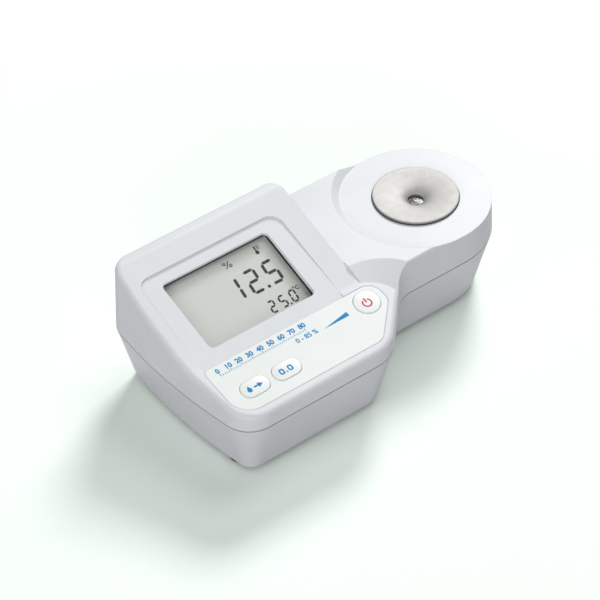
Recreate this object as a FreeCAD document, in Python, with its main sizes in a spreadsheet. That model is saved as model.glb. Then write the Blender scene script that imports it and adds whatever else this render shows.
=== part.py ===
import FreeCAD
import Part
import math
import os
import Sketcher
from FreeCAD import Placement, Rotation, Vector

# Driving dimensions in millimetres. X runs along the case toward the sample well, Y to the
# back edge, Z up; the origin lies under the middle of the case, on the table.
SIZES = [
    ("case_left", 96.0, "left end of the case at its fullest"),
    ("left_bow", 283.0, "radius to which the left end is bowed"),
    ("bow_y", 9.0, "depth at which the left end is fullest"),
    ("case_front", 51.0, "front wall at the joint line"),
    ("well_x", 59.5, "sample well axis, X"),
    ("well_y", 14.5, "sample well axis, Y"),
    ("well_end", 36.5, "radius of the rounded end at the joint line"),
    ("elbow_sum", 42.7, "x minus y of the slanting wall right of the keys"),
    ("joint_z", 32.0, "height of the joint between the case halves"),
    ("joint_gap", 0.6, "thickness of the gasket in the joint"),
    ("joint_groove", 0.5, "gasket set in from the case wall"),
    ("base_z", 1.5, "underside of the lower case above the table"),
    ("form_top", 67.0, "top of the upper case"),
    ("upper_draft", 2.4, "upper case draft, degrees"),
    ("lower_draft", 14.0, "lower case draft, degrees"),
    ("wall", 2.4, "case wall thickness"),
    ("corner_r", 14.0, "front left corner of the case in plan"),
    ("back_corner_r", 13.0, "back left corner of the case in plan"),
    ("nose_r", 20.0, "front corner beside the power key in plan"),
    ("elbow_r", 14.0, "hollow corner between slanting wall and well block"),
    ("keys_y", -45.0, "station where the key slope height is given"),
    ("keys_z", 41.3, "height of the key slope at that station"),
    ("keys_slope", 0.19, "rise of the key slope per unit of depth"),
    ("kink_y", -13.8, "line where the key slope turns into the display slope"),
    ("display_slope", 0.345, "rise of the display slope per unit of depth"),
    ("shoulder_x", 2.0, "right side of the head where it meets the well block"),
    ("shoulder_r", 10.0, "back right corner of the head in plan"),
    ("outer_z", 51.0, "upper level of the well block"),
    ("disc_z", 48.2, "level of the round zone about the well"),
    ("disc_r", 36.2, "radius of the round zone"),
    ("disc_flare", 1.3, "outward run of the bevel per unit of height"),
    ("scoop_x", -3.4, "hollow behind the power key, lower circle centre X"),
    ("scoop_y", -31.6, "hollow behind the power key, lower circle centre Y"),
    ("scoop_r", 17.3, "hollow behind the power key, lower radius"),
    ("scoop_top_x", 4.0, "upper circle centre X"),
    ("scoop_top_y", -30.2, "upper circle centre Y"),
    ("scoop_top_r", 29.9, "upper radius"),
    ("scoop_top_z", 54.0, "height of the upper circle"),
    ("kink_r", 16.0, "rounding between the key slope and the display slope"),
    ("brow_r", 6.0, "rounding between the display slope and the flat top"),
    ("rim_r", 2.5, "rounding of the rim of the head"),
    ("well_rim_r", 1.2, "rounding of the rim of the well block"),
    ("base_rim_r", 2.0, "rounding of the lower case at the bottom"),
    ("window_x", -48.7, "display opening, middle in X"),
    ("window_y", 8.7, "display opening, middle in Y"),
    ("window_wide", 59.0, "display opening, width"),
    ("window_deep", 38.9, "display opening, depth along the slope"),
    ("window_r", 2.5, "display opening, corner radius"),
    ("pane_edge", 3.0, "pane beyond the opening on each side"),
    ("pane_thick", 1.5, "pane thickness"),
    ("frame_x", -48.7, "recess about the display, middle in X"),
    ("frame_wide", 78.6, "recess about the display, width"),
    ("frame_back_y", 33.3, "recess about the display, back edge"),
    ("frame_long", 60.0, "recess about the display, length of the cutter"),
    ("frame_deep", 0.95, "depth of that recess at its back edge"),
    ("frame_lean", 1.05, "recess floor against the slope, degrees"),
    ("frame_r", 6.5, "recess about the display, corner radius"),
    ("overlay_thick", 0.5, "key overlay thickness and depth of its recess"),
    ("overlay_gap", 0.25, "gap around the key overlay"),
    ("key_long", 14.6, "read and zero keys, length"),
    ("key_wide", 9.0, "read and zero keys, width"),
    ("power_r", 6.4, "power key radius"),
    ("key_gap", 0.2, "gap around each key"),
    ("key_proud", 0.5, "keys stand proud of the overlay"),
    ("key_flange", 1.2, "key flange beyond the key"),
    ("key_travel", 0.5, "key travel"),
    ("key_slack", 0.1, "gap between key stem and pressed switch"),
    ("stem_r", 1.7, "key stem radius"),
    ("stem_tip", 4.6, "key stem tip below the slope"),
    ("board_thick", 1.6, "printed circuit boards"),
    ("keypad_drop", 8.4, "top of the keypad board below the key slope"),
    ("main_drop", 11.0, "top of the main board below the display slope"),
    ("ring_r", 20.55, "sample dish flange radius"),
    ("dish_top", 49.7, "sample dish rim height"),
    ("dish_body_r", 18.0, "sample dish body radius"),
    ("turn_gap", 0.3, "gap between round parts that fit together"),
    ("seal_thick", 0.4, "flat seals"),
    ("prism_top", 46.1, "lower edge of the hole over the prism"),
    ("prism_sink", 0.9, "prism face below that edge"),
    ("prism_hole_r", 3.9, "hole in the dish over the prism"),
    ("fit_gap", 0.3, "gap around flat pieces that drop into a seat"),
    ("lcd_thick", 2.8, "display glass cell thickness"),
    ("chip_thick", 1.4, "processor thickness"),
    ("small_head_r", 1.9, "board screw head radius"),
    ("small_head_high", 1.4, "board screw head height"),
    ("small_screw_long", 6.0, "board screw shank length"),
    ("flange_thick", 1.0, "key flange thickness"),
    ("switch_high", 2.5, "switch body height"),
    ("dish_low", 41.0, "lower end of the sample dish"),
    ("dish_foot_r", 14.8, "lower stage of the sample dish"),
    ("dish_step", 44.0, "height of the step under the sample dish"),
    ("neck_r", 10.2, "optics block neck radius"),
    ("nut_high", 3.0, "clamp nut height"),
    ("nut_r", 20.2, "clamp nut radius"),
    ("tunnel_r", 3.2, "light tunnel radius"),
    ("probe_thick", 1.4, "temperature probe thickness"),
    ("contact_thick", 1.6, "battery contact plate thickness"),
    ("cover_seal_wide", 1.8, "ledge for the seal about the cover's inner ring"),
    ("slot_long", 26.0, "coin slot length"),
    ("slot_wide", 3.0, "coin slot width"),
    ("slot_deep", 1.2, "coin slot depth"),
    ("screw_long", 24.0, "case screw shank length"),
    ("boss_r", 3.6, "case screw bosses and posts"),
    ("boss_short", 1.2, "case screw bosses stop this far below their ceiling"),
    ("small_boss_r", 3.0, "board screw bosses"),
    ("head_r", 2.7, "case screw head radius"),
    ("screw_seat", 14.0, "case screw head seat above the table"),
    ("screw_r", 1.25, "case screw shank radius"),
    ("small_screw_r", 0.9, "board screw shank radius"),
    ("bay_x", -45.0, "battery bay axis, X"),
    ("bay_y", 0.0, "battery bay axis, Y"),
    ("cover_r", 31.2, "battery cover radius"),
    ("bay_clear", 0.8, "gap between the cover lugs and the battery bay wall"),
    ("bay_wall", 1.8, "battery bay wall"),
    ("bay_top", 25.0, "battery bay ceiling"),
    ("lug_reach", 2.0, "cover lugs beyond the cover's edge"),
    ("battery_long", 46.4, "battery without its studs"),
    ("battery_wide", 26.5, "battery width"),
    ("battery_high", 17.5, "battery height as it lies"),
    ("battery_z", 6.4, "battery underside"),
    ("foot_r", 6.0, "foot radius"),
    ("foot_sink", 1.0, "foot recess depth"),
]

doc = FreeCAD.newDocument("refractometer")
sheet = doc.addObject("Spreadsheet::Sheet", "Dims")
for row, (name, value, note) in enumerate(SIZES, start=1):
    sheet.set("A%d" % row, name)
    sheet.set("B%d" % row, repr(value))
    sheet.set("C%d" % row, note)
    sheet.setAlias("B%d" % row, name)
doc.recompute()


class Size:
    """A length with the sheet expression that yields it."""

    def __init__(self, value, text):
        self.value = float(value)
        self.text = text

    def __add__(self, other):
        other = size(other)
        return Size(self.value + other.value, "(%s + %s)" % (self.text, other.text))

    def __sub__(self, other):
        other = size(other)
        return Size(self.value - other.value, "(%s - %s)" % (self.text, other.text))

    def __mul__(self, other):
        other = size(other)
        return Size(self.value * other.value, "(%s * %s)" % (self.text, other.text))

    def __truediv__(self, other):
        other = size(other)
        return Size(self.value / other.value, "(%s / %s)" % (self.text, other.text))

    def __neg__(self):
        return Size(-self.value, "(0 - %s)" % self.text)


def size(value):
    if isinstance(value, Size):
        return value
    return Size(value, "(%r)" % float(value) if value >= 0 else "(0 - %r)" % -float(value))


S = {name: Size(value, "Dims." + name) for name, value, note in SIZES}
S["lug_r"] = S["cover_r"] + S["lug_reach"]
S["bay_r"] = S["lug_r"] + S["bay_clear"]
S["cover_ring_r"] = S["cover_r"] - S["cover_seal_wide"]


def bind(thing, prop, value):
    value = size(value)
    thing.setExpression(prop, value.text)


def new_body(label):
    body = doc.addObject("PartDesign::Body", label)
    body.Label = label
    return body


def plane_of(body, role):
    return [f for f in body.Origin.OriginFeatures if f.Role == role][0]


def new_sketch(body, label, role, offset):
    sketch = body.newObject("Sketcher::SketchObject", label)
    sketch.AttachmentSupport = [(plane_of(body, role), "")]
    sketch.MapMode = "FlatFace"
    offset = size(offset)
    sketch.AttachmentOffset = Placement(Vector(0, 0, offset.value), Rotation())
    sketch.setExpression("AttachmentOffset.Base.z", offset.text)
    return sketch


def pin(sketch, geometry, end, x, y):
    x, y = size(x), size(y)
    for kind, value in (("DistanceX", x), ("DistanceY", y)):
        at = sketch.addConstraint(Sketcher.Constraint(kind, -1, 1, geometry, end, value.value))
        sketch.setExpression("Constraints[%d]" % at, value.text)


def polygon(sketch, points):
    """Closed outline of straight lines; each corner is pinned to its sheet values."""
    count = len(points)
    xy = [Vector(size(x).value, size(y).value, 0) for x, y in points]
    for i in range(count):
        sketch.addGeometry(Part.LineSegment(xy[i], xy[(i + 1) % count]), False)
    for i in range(count):
        sketch.addConstraint(Sketcher.Constraint("Coincident", i, 2, (i + 1) % count, 1))
    for i, (x, y) in enumerate(points):
        pin(sketch, i, 1, x, y)


def case_outline(sketch, inset):
    """Plan of the case, set in evenly from the outer wall at the joint line."""
    front = S["case_front"] - inset
    bow = S["left_bow"] - inset
    bow_x = S["left_bow"] - S["case_left"]
    bow_y = S["bow_y"].value
    corner = S["corner_r"] - inset
    rear = S["back_corner_r"] - inset
    nose = S["nose_r"] - inset
    elbow = S["elbow_r"] + inset
    end = S["well_end"] - inset
    slant = S["elbow_sum"] - size(inset) * 1.41421
    r0, r1, r2, r3 = corner.value, nose.value, elbow.value, end.value
    wx, wy, f, c = S["well_x"].value, S["well_y"].value, front.value, slant.value
    corner_x = bow_x.value - math.sqrt((bow.value - r0) ** 2 - (f - r0 + bow_y) ** 2)
    unit = Vector(corner_x - bow_x.value, r0 - f - bow_y, 0)
    unit.normalize()
    low_tip = Vector(bow_x.value, bow_y, 0) + unit * bow.value
    nose_c = Vector(c - f - r1 * math.tan(math.pi / 8), -f + r1, 0)
    nose_a = Vector(nose_c.x, -f, 0)
    nose_b = nose_c + Vector(r1 * math.sin(math.pi / 4), -r1 * math.cos(math.pi / 4), 0)
    well_low = wy - r3
    elbow_c = Vector(c + well_low + r2 * math.tan(math.pi / 8), well_low - r2, 0)
    elbow_b = Vector(elbow_c.x, well_low, 0)
    elbow_a = elbow_c + Vector(-r2 * math.sin(math.pi / 4), r2 * math.cos(math.pi / 4), 0)
    top = wy + r3
    r4 = rear.value
    back_x = bow_x.value - math.sqrt((bow.value - r4) ** 2 - (top - r4 - bow_y) ** 2)
    outward = Vector(back_x - bow_x.value, top - r4 - bow_y, 0)
    outward.normalize()
    up_tip = Vector(bow_x.value, bow_y, 0) + outward * bow.value
    arc = Part.Arc
    line = Part.LineSegment
    middle = math.sqrt(0.5)
    sketch.addGeometry(line(Vector(corner_x, -f, 0), nose_a), False)
    sketch.addGeometry(arc(nose_a, nose_c + Vector(r1 * math.sin(math.pi / 8), -r1 * math.cos(math.pi / 8), 0),
                           nose_b), False)
    sketch.addGeometry(line(nose_b, elbow_a), False)
    sketch.addGeometry(arc(elbow_a, elbow_c + Vector(-r2 * math.sin(math.pi / 8), r2 * math.cos(math.pi / 8), 0),
                           elbow_b), False)
    sketch.addGeometry(line(elbow_b, Vector(wx, well_low, 0)), False)
    sketch.addGeometry(arc(Vector(wx, well_low, 0), Vector(wx + r3, wy, 0), Vector(wx, top, 0)), False)
    sketch.addGeometry(line(Vector(wx, top, 0), Vector(back_x, top, 0)), False)
    sketch.addGeometry(arc(Vector(back_x, top, 0), Vector(back_x - r4 * middle, top - r4 + r4 * middle, 0),
                           up_tip), False)
    sketch.addGeometry(arc(up_tip, Vector(bow_x.value - bow.value, bow_y, 0), low_tip), False)
    sketch.addGeometry(arc(low_tip, Vector(corner_x - r0 * middle, -f + r0 - r0 * middle, 0),
                           Vector(corner_x, -f, 0)), False)
    link = Sketcher.Constraint
    ends = [(0, 2, 1, 1), (1, 2, 2, 1), (2, 2, 3, 2), (3, 1, 4, 1), (4, 2, 5, 1),
            (5, 2, 6, 1), (6, 2, 7, 1), (7, 2, 8, 1), (8, 2, 9, 1), (9, 2, 0, 1)]
    for one, one_end, two, two_end in ends:
        sketch.addConstraint(link("Tangent", one, one_end, two, two_end))
    for index in (0, 4, 6):
        sketch.addConstraint(link("Horizontal", index))
    for index, radius in ((1, nose), (3, elbow), (5, end), (7, rear), (8, bow), (9, corner)):
        at = sketch.addConstraint(link("Radius", index, radius.value))
        sketch.setExpression("Constraints[%d]" % at, radius.text)
    pin(sketch, 5, 3, S["well_x"], S["well_y"])
    pin(sketch, 8, 3, bow_x, S["bow_y"])
    at = sketch.addConstraint(link("DistanceY", -1, 1, 0, 1, -front.value))
    sketch.setExpression("Constraints[%d]" % at, (-front).text)
    sketch.addConstraint(link("Angle", -1, 1, 2, 1, math.pi / 4))
    sketch.addGeometry(Part.Point(Vector(c - f, -f, 0)), True)
    pin(sketch, 10, 1, slant - front, -front)
    sketch.addConstraint(link("PointOnObject", 10, 1, 2))


def edges_near(shape, spots, reach=2.5):
    """Names of the edges that pass within reach of the given points."""
    names = []
    for spot in spots:
        vertex = Part.Vertex(Vector(*spot))
        best = min(range(len(shape.Edges)), key=lambda i: shape.Edges[i].distToShape(vertex)[0])
        gap = shape.Edges[best].distToShape(vertex)[0]
        if gap > reach:
            raise RuntimeError("no edge near %s, nearest is %.2f away" % (spot, gap))
        name = "Edge%d" % (best + 1)
        if name not in names:
            names.append(name)
    return names


def round_edges(body, label, names, radius):
    base = body.Tip
    fillet = body.newObject("PartDesign::Fillet", label)
    fillet.Base = (base, names)
    fillet.Radius = size(radius).value
    bind(fillet, "Radius", radius)
    body.Tip = fillet
    doc.recompute()
    if not fillet.Shape.isValid() or "Invalid" in fillet.State:
        raise RuntimeError("fillet failed: " + label)
    return fillet


def pocket(body, label, role, offset, points, length, both=False):
    sketch = new_sketch(body, label + "_sketch", role, offset)
    polygon(sketch, points)
    cut = body.newObject("PartDesign::Pocket", label)
    cut.Profile = sketch
    cut.Length = length
    cut.Midplane = both
    body.Tip = cut
    doc.recompute()
    return cut


def slope_height(y, drop=0):
    """Height of the key slope at a depth, lowered by drop measured upright."""
    return S["keys_z"] + S["keys_slope"] * (size(y) - S["keys_y"]) - drop


def display_height(y, drop=0):
    return slope_height(S["kink_y"], drop) + S["display_slope"] * (size(y) - S["kink_y"])


def v(name):
    return S[name].value


def at(x, y, z):
    return Placement(Vector(x, y, z), Rotation())


KEYS_ANGLE = math.degrees(math.atan(v("keys_slope")))
DISPLAY_ANGLE = math.degrees(math.atan(v("display_slope")))
KINK_Z = slope_height(S["kink_y"]).value
CEILING = 1.05 * v("wall")
X_AXIS = Vector(1, 0, 0)


def on_keys(x, y, n):
    """Placement on the key slope over plan point x, y, raised by n along its normal."""
    frame = Placement(Vector(x, y, slope_height(y).value), Rotation(X_AXIS, KEYS_ANGLE))
    return frame.multiply(at(0, 0, n))


def on_display(x, y, n):
    frame = Placement(Vector(x, y, display_height(y).value), Rotation(X_AXIS, DISPLAY_ANGLE))
    return frame.multiply(at(0, 0, n))


def box(label, length, width, height, place):
    """Box centred on its placement in X and Y, standing on it in Z."""
    thing = doc.addObject("Part::Box", label)
    for prop, value in (("Length", length), ("Width", width), ("Height", height)):
        setattr(thing, prop, size(value).value)
        bind(thing, prop, value)
    thing.Placement = place.multiply(at(-size(length).value / 2, -size(width).value / 2, 0))
    return thing


def cylinder(label, radius, height, place):
    thing = doc.addObject("Part::Cylinder", label)
    for prop, value in (("Radius", radius), ("Height", height)):
        setattr(thing, prop, size(value).value)
        bind(thing, prop, value)
    thing.Placement = place
    return thing


def joined(label, things):
    fuse = doc.addObject("Part::MultiFuse", label)
    fuse.Shapes = things
    doc.recompute()
    return fuse


def cut(label, base, tools):
    result = doc.addObject("Part::Cut", label)
    result.Base = base
    result.Tool = tools[0] if len(tools) == 1 else joined(label + "_tools", tools)
    doc.recompute()
    return result


def turned(label, points, place):
    """Body of revolution about its own Z axis from points (radius, height)."""
    body = new_body(label)
    sketch = new_sketch(body, label + "_profile", "XZ_Plane", 0)
    polygon(sketch, points)
    spin = body.newObject("PartDesign::Revolution", label + "_turn")
    spin.Profile = sketch
    spin.ReferenceAxis = (sketch, ["V_Axis"])
    spin.Angle = 360
    body.Tip = spin
    body.Placement = place
    doc.recompute()
    return body


def ring(label, inner, outer, height, place):
    return turned(label, [(inner, 0), (outer, 0), (outer, height), (inner, height)], place)


def screw(label, head_r, head_high, shank_r, length, place):
    return turned(label, [(0, 0), (head_r, 0), (head_r, head_high), (shank_r, head_high),
                          (shank_r, length), (0, length)], place)


def plate(label, length, width, height, corner, place):
    """Plate with rounded corners, centred on its placement."""
    body = new_body(label)
    sketch = new_sketch(body, label + "_plan", "XY_Plane", 0)
    length, width, corner = size(length), size(width), size(corner)
    half_x = length / 2 - corner
    half_y = width / 2 - corner
    hx, hy, r = half_x.value, half_y.value, corner.value
    centres = [(hx, -hy), (hx, hy), (-hx, hy), (-hx, -hy)]
    for i in range(4):
        cx, cy = centres[i]
        nx, ny = centres[(i + 1) % 4]
        start = math.pi * (i - 1) / 2
        circle = Part.Circle(Vector(cx, cy, 0), Vector(0, 0, 1), r)
        sketch.addGeometry(Part.ArcOfCircle(circle, start, start + math.pi / 2), False)
        out = Vector(math.cos(start + math.pi / 2), math.sin(start + math.pi / 2), 0) * r
        sketch.addGeometry(Part.LineSegment(Vector(cx, cy, 0) + out, Vector(nx, ny, 0) + out), False)
    link = Sketcher.Constraint
    for i in range(4):
        sketch.addConstraint(link("Tangent", 2 * i, 2, 2 * i + 1, 1))
        sketch.addConstraint(link("Tangent", 2 * i + 1, 2, (2 * i + 2) % 8, 1))
    for index in (2, 4, 6):
        sketch.addConstraint(link("Equal", 0, index))
    where = sketch.addConstraint(link("Radius", 0, r))
    sketch.setExpression("Constraints[%d]" % where, corner.text)
    sketch.addConstraint(link("Horizontal", 3))
    sketch.addConstraint(link("Vertical", 1))
    pin(sketch, 0, 3, half_x, -half_y)
    pin(sketch, 4, 3, -half_x, half_y)
    pad = body.newObject("PartDesign::Pad", label + "_pad")
    pad.Profile = sketch
    pad.Length = size(height).value
    bind(pad, "Length", height)
    body.Tip = pad
    body.Placement = place
    doc.recompute()
    return body


def case_pad(label, inset, start, length, draft, down=False):
    """Case plan drawn out from a level, leaning inward by the draft."""
    body = new_body(label)
    plan = new_sketch(body, label + "_plan", "XY_Plane", start)
    case_outline(plan, size(inset))
    pad = body.newObject("PartDesign::Pad", label + "_pad")
    pad.Profile = plan
    pad.Reversed = down
    pad.Length = size(length).value
    bind(pad, "Length", length)
    pad.TaperAngle = -size(draft).value
    bind(pad, "TaperAngle", -size(draft))
    body.Tip = pad
    doc.recompute()
    return body


# Upper case, outer form: the head with both slopes, then the well block beside it
FAR = 120
PAST = 15
upper_start = S["joint_z"] + S["joint_gap"] / 2


def upper_lean(z):
    """How far the upper case's wall leans in by a height."""
    return math.tan(math.radians(v("upper_draft"))) * (z - upper_start.value)


def cut_slopes(body, label, drop, limit):
    front = -S["case_front"] - PAST
    back = S["case_front"] + PAST
    above = S["form_top"] + PAST
    pocket(body, label, "YZ_Plane", limit, [
        (front, slope_height(front, drop)), (S["kink_y"], slope_height(S["kink_y"], drop)),
        (back, display_height(back, drop)), (back, above), (front, above)], 2 * FAR)


def cut_step(body, label, inset):
    """Clears the head form away above the well block; the head keeps a round back corner."""
    level = S["outer_z"] - inset
    edge = S["shoulder_x"] - inset
    radius = S["shoulder_r"]
    sketch = new_sketch(body, label + "_plan", "XY_Plane", level)
    back = S["well_y"] + S["well_end"] - inset - upper_lean(level.value)
    x, y, r = edge.value, back.value, radius.value
    far = float(FAR)
    arc_c = Vector(x - r, y - r, 0)
    a0 = math.pi / 2 - 0.06
    end = arc_c + Vector(math.cos(a0), math.sin(a0), 0) * r
    sketch.addGeometry(Part.LineSegment(Vector(x, -70, 0), Vector(x, y - r, 0)), False)
    sketch.addGeometry(Part.ArcOfCircle(Part.Circle(arc_c, Vector(0, 0, 1), r), 0, a0), False)
    sketch.addGeometry(Part.LineSegment(end, Vector(end.x, 70, 0)), False)
    sketch.addGeometry(Part.LineSegment(Vector(end.x, 70, 0), Vector(far, 70, 0)), False)
    sketch.addGeometry(Part.LineSegment(Vector(far, 70, 0), Vector(far, -70, 0)), False)
    sketch.addGeometry(Part.LineSegment(Vector(far, -70, 0), Vector(x, -70, 0)), False)
    cutter = body.newObject("PartDesign::Pocket", label)
    cutter.Profile = sketch
    cutter.Reversed = True
    cutter.Length = 30
    body.Tip = cutter
    doc.recompute()
    return cutter


outer_form = case_pad("case_form", 0, upper_start, S["form_top"] - upper_start, S["upper_draft"])
cut_slopes(outer_form, "head_slopes", 0, S["shoulder_x"])
cut_step(outer_form, "head_step", 0)


def circle_on(body, label, place, radius):
    sketch = body.newObject("Sketcher::SketchObject", label)
    sketch.AttachmentSupport = [(plane_of(body, "XY_Plane"), "")]
    sketch.MapMode = "FlatFace"
    sketch.AttachmentOffset = place
    sketch.addGeometry(Part.Circle(Vector(0, 0, 0), Vector(0, 0, 1), radius.value), False)
    sketch.addConstraint(Sketcher.Constraint("Coincident", 0, 3, -1, 1))
    where = sketch.addConstraint(Sketcher.Constraint("Radius", 0, radius.value))
    sketch.setExpression("Constraints[%d]" % where, radius.text)
    return sketch


scoop = outer_form.newObject("PartDesign::SubtractiveLoft", "scoop")
scoop.Profile = circle_on(outer_form, "scoop_low", Placement(
    Vector(v("scoop_x"), v("scoop_y"), slope_height(S["scoop_y"]).value), Rotation(X_AXIS, KEYS_ANGLE)),
    S["scoop_r"])
scoop.Sections = [circle_on(outer_form, "scoop_high", at(v("scoop_top_x"), v("scoop_top_y"), v("scoop_top_z")),
                            S["scoop_top_r"])]
scoop.Ruled = True
outer_form.Tip = scoop
doc.recompute()
zone = outer_form.newObject("PartDesign::SubtractiveCone", "round_zone")
zone.Placement = at(v("well_x"), v("well_y"), v("disc_z"))
bind(zone, "Radius1", S["disc_r"])
bind(zone, "Radius2", S["disc_r"] + S["disc_flare"] * 6)
zone.Height = 6
outer_form.Tip = zone
doc.recompute()
middle_x = v("window_x")
brow_y = v("kink_y") + (v("form_top") - KINK_Z) / v("display_slope")
rim_z = slope_height(-v("case_front")).value
rim_y = -v("case_front") + upper_lean(rim_z)
block_x = v("elbow_sum") + v("well_y") - v("well_end") + v("elbow_r")
block_y = v("well_y") - v("well_end") + upper_lean(v("outer_z"))
for name, spot, radius in (("kink", (middle_x, v("kink_y"), KINK_Z), "kink_r"),
                           ("brow", (middle_x, brow_y, v("form_top")), "brow_r"),
                           ("rim", (middle_x, rim_y, rim_z), "rim_r"),
                           ("block", (block_x, block_y, v("outer_z")), "well_rim_r")):
    round_edges(outer_form, name + "_round", edges_near(outer_form.Shape, [spot]), S[radius])

# Upper case: hollow, bosses, openings
hollow = case_pad("upper_hollow", S["wall"], upper_start - 1, S["form_top"] - upper_start, S["upper_draft"])
cut_slopes(hollow, "hollow_slopes", CEILING, FAR)
pocket(hollow, "hollow_step", "XZ_Plane", 0, [
    (S["shoulder_x"] - S["wall"] - 1, S["disc_z"] - S["wall"]), (FAR, S["disc_z"] - S["wall"]),
    (FAR, 90), (S["shoulder_x"] - S["wall"] - 1, 90)], 2 * FAR, True)
shell = cut("upper_shell", outer_form, [hollow])

CASE_SCREWS = [(-83, -18.5), (-77.6, 38.4), (6, -12), (12, 38), (84, 14.5)]
CASE_BOSS_TOPS = [slope_height(-18.5).value, display_height(38.4).value, v("disc_z"), v("disc_z"), v("disc_z")]
BOARD_SCREWS = [(-87, -8), (-10.5, -8), (-87, 26), (-10.5, 26)]
KEYPAD_SCREWS = [(-65.35, -25.0), (-36, -36), (-14.5, -38)]
KEYS = [("read", -74.1, -36.0), ("zero", -56.6, -36.0)]
POWER = (-2.6, -25.7)
key_ceiling = CEILING * math.cos(math.radians(KEYS_ANGLE))
display_ceiling = CEILING * math.cos(math.radians(DISPLAY_ANGLE))
bosses = []
for i, ((x, y), top) in enumerate(zip(CASE_SCREWS, CASE_BOSS_TOPS), start=1):
    start = upper_start.value
    bosses.append(cylinder("case_boss_%d" % i, S["boss_r"], top - v("boss_short") - start, at(x, y, start)))
for i, (x, y) in enumerate(BOARD_SCREWS, start=1):
    bosses.append(cylinder("board_boss_%d" % i, S["small_boss_r"], S["main_drop"] - display_ceiling + 1,
                           on_display(x, y, -v("main_drop"))))
for i, (x, y) in enumerate(KEYPAD_SCREWS, start=1):
    bosses.append(cylinder("keypad_boss_%d" % i, S["small_boss_r"], S["keypad_drop"] - key_ceiling + 1,
                           on_keys(x, y, -v("keypad_drop"))))
bossed = joined("upper_bossed", [shell] + bosses)

openings = []
openings.append(plate("window_cut", S["window_wide"], S["window_deep"], 12, S["window_r"],
                      on_display(v("window_x"), v("window_y"), -6)))
lean = Placement(Vector(v("frame_x"), v("frame_back_y"), display_height(v("frame_back_y")).value - v("frame_deep")),
                 Rotation(X_AXIS, DISPLAY_ANGLE - v("frame_lean")))
openings.append(plate("frame_cut", S["frame_wide"], S["frame_long"], 12, S["frame_r"],
                      lean.multiply(at(0, -v("frame_long") / 2, 0))))


def overlay_body(label, gap, height, place_drop):
    """Key overlay plan on the key slope; the gap sets its edge in."""
    body = new_body(label)
    sketch = new_sketch(body, label + "_plan", "XY_Plane", 0)
    stretch = 1 / math.cos(math.radians(KEYS_ANGLE))
    left, right, back, front = -89.0, 7.2, 27.6, -1.4
    edge = gap
    points = [(left + edge, (front + 0) * stretch + edge), (-9.8 - edge * 0.41, front * stretch + edge),
              (right - edge, (front + 17) * stretch + edge * 0.41), (right - edge, back * stretch - edge),
              (left + edge, back * stretch - edge)]
    polygon(sketch, points)
    pad = body.newObject("PartDesign::Pad", label + "_pad")
    pad.Profile = sketch
    pad.Length = size(height).value
    bind(pad, "Length", height)
    body.Tip = pad
    doc.recompute()
    for index, ((x, y), radius) in enumerate(zip(points, (11, 8, 6, 7, 3))):
        round_edges(body, "%s_corner_%d" % (label, index),
                    edges_near(body.Shape, [(size(x).value, size(y).value, size(height).value / 2)], 0.4),
                    radius - gap)
    body.Placement = Placement(Vector(0, v("keys_y"), v("keys_z")), Rotation(X_AXIS, KEYS_ANGLE)).multiply(
        at(0, 0, place_drop))
    doc.recompute()
    return body


openings.append(overlay_body("overlay_cut", 0.0, 6, -v("overlay_thick")))
for name, x, y in KEYS:
    openings.append(plate(name + "_cut", S["key_long"] + S["key_gap"] * 2, S["key_wide"] + S["key_gap"] * 2, 8,
                          S["key_wide"] / 2 + S["key_gap"] - 0.05, on_keys(x, y, -5)))
openings.append(cylinder("power_cut", S["power_r"] + S["key_gap"], 8, on_keys(POWER[0], POWER[1], -5)))
openings.append(cylinder("well_cut", S["dish_body_r"] + S["turn_gap"], 12, at(v("well_x"), v("well_y"), 42)))
for i, (x, y) in enumerate(CASE_SCREWS, start=1):
    openings.append(cylinder("case_bore_%d" % i, S["screw_r"] + S["turn_gap"], 8.5,
                             at(x, y, upper_start.value - 1)))
for i, (x, y) in enumerate(BOARD_SCREWS, start=1):
    openings.append(cylinder("board_bore_%d" % i, S["small_screw_r"] + S["turn_gap"], 7,
                             on_display(x, y, -v("main_drop") - 1)))
for i, (x, y) in enumerate(KEYPAD_SCREWS, start=1):
    openings.append(cylinder("keypad_bore_%d" % i, S["small_screw_r"] + S["turn_gap"], 6,
                             on_keys(x, y, -v("keypad_drop") - 1)))
upper_case = cut("upper_case", bossed, openings)

# Lower case: shell, posts, battery bay, feet recesses
lower_start = S["joint_z"] - S["joint_gap"] / 2
lower = case_pad("lower_form", 0, lower_start, lower_start - S["base_z"], S["lower_draft"], True)
bottom_edges = ["Edge%d" % (i + 1) for i, edge in enumerate(lower.Shape.Edges)
                if edge.BoundBox.ZMax < v("base_z") + 0.01]
round_edges(lower, "lower_rim", bottom_edges[:1], S["base_rim_r"])
floor_z = S["base_z"] + S["wall"]
lower_hollow = case_pad("lower_hollow", S["wall"], lower_start, lower_start - floor_z, S["lower_draft"], True)
lower_shell = cut("lower_shell", lower, [lower_hollow])
bay = (v("bay_x"), v("bay_y"))
added = [cylinder("bay_form", S["bay_r"] + S["bay_wall"], S["bay_top"] + S["bay_wall"] - floor_z + 0.5,
                  at(bay[0], bay[1], floor_z.value - 0.5))]
for i, (x, y) in enumerate(CASE_SCREWS, start=1):
    added.append(cylinder("case_post_%d" % i, S["boss_r"], lower_start - floor_z + 0.5,
                          at(x, y, floor_z.value - 0.5)))
lower_added = joined("lower_added", [lower_shell] + added)
bay_hollow = cylinder("bay_hollow", S["bay_r"], S["bay_top"] - floor_z, at(bay[0], bay[1], floor_z.value))
bay_open = cut("lower_bay", lower_added, [bay_hollow])
ribs = []
side = v("battery_wide") / 2 + 0.4
for name, y in (("front", -side - 0.75), ("back", side + 0.75)):
    ribs.append(box("bay_rib_" + name, 34, 1.5, v("bay_top") - 7 + 0.5, at(-48.3, y + bay[1], 7)))
ribs.append(box("contact_rib", 2.0, 26, v("bay_top") - 7 + 0.5, at(-20.0, bay[1], 7)))
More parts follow.
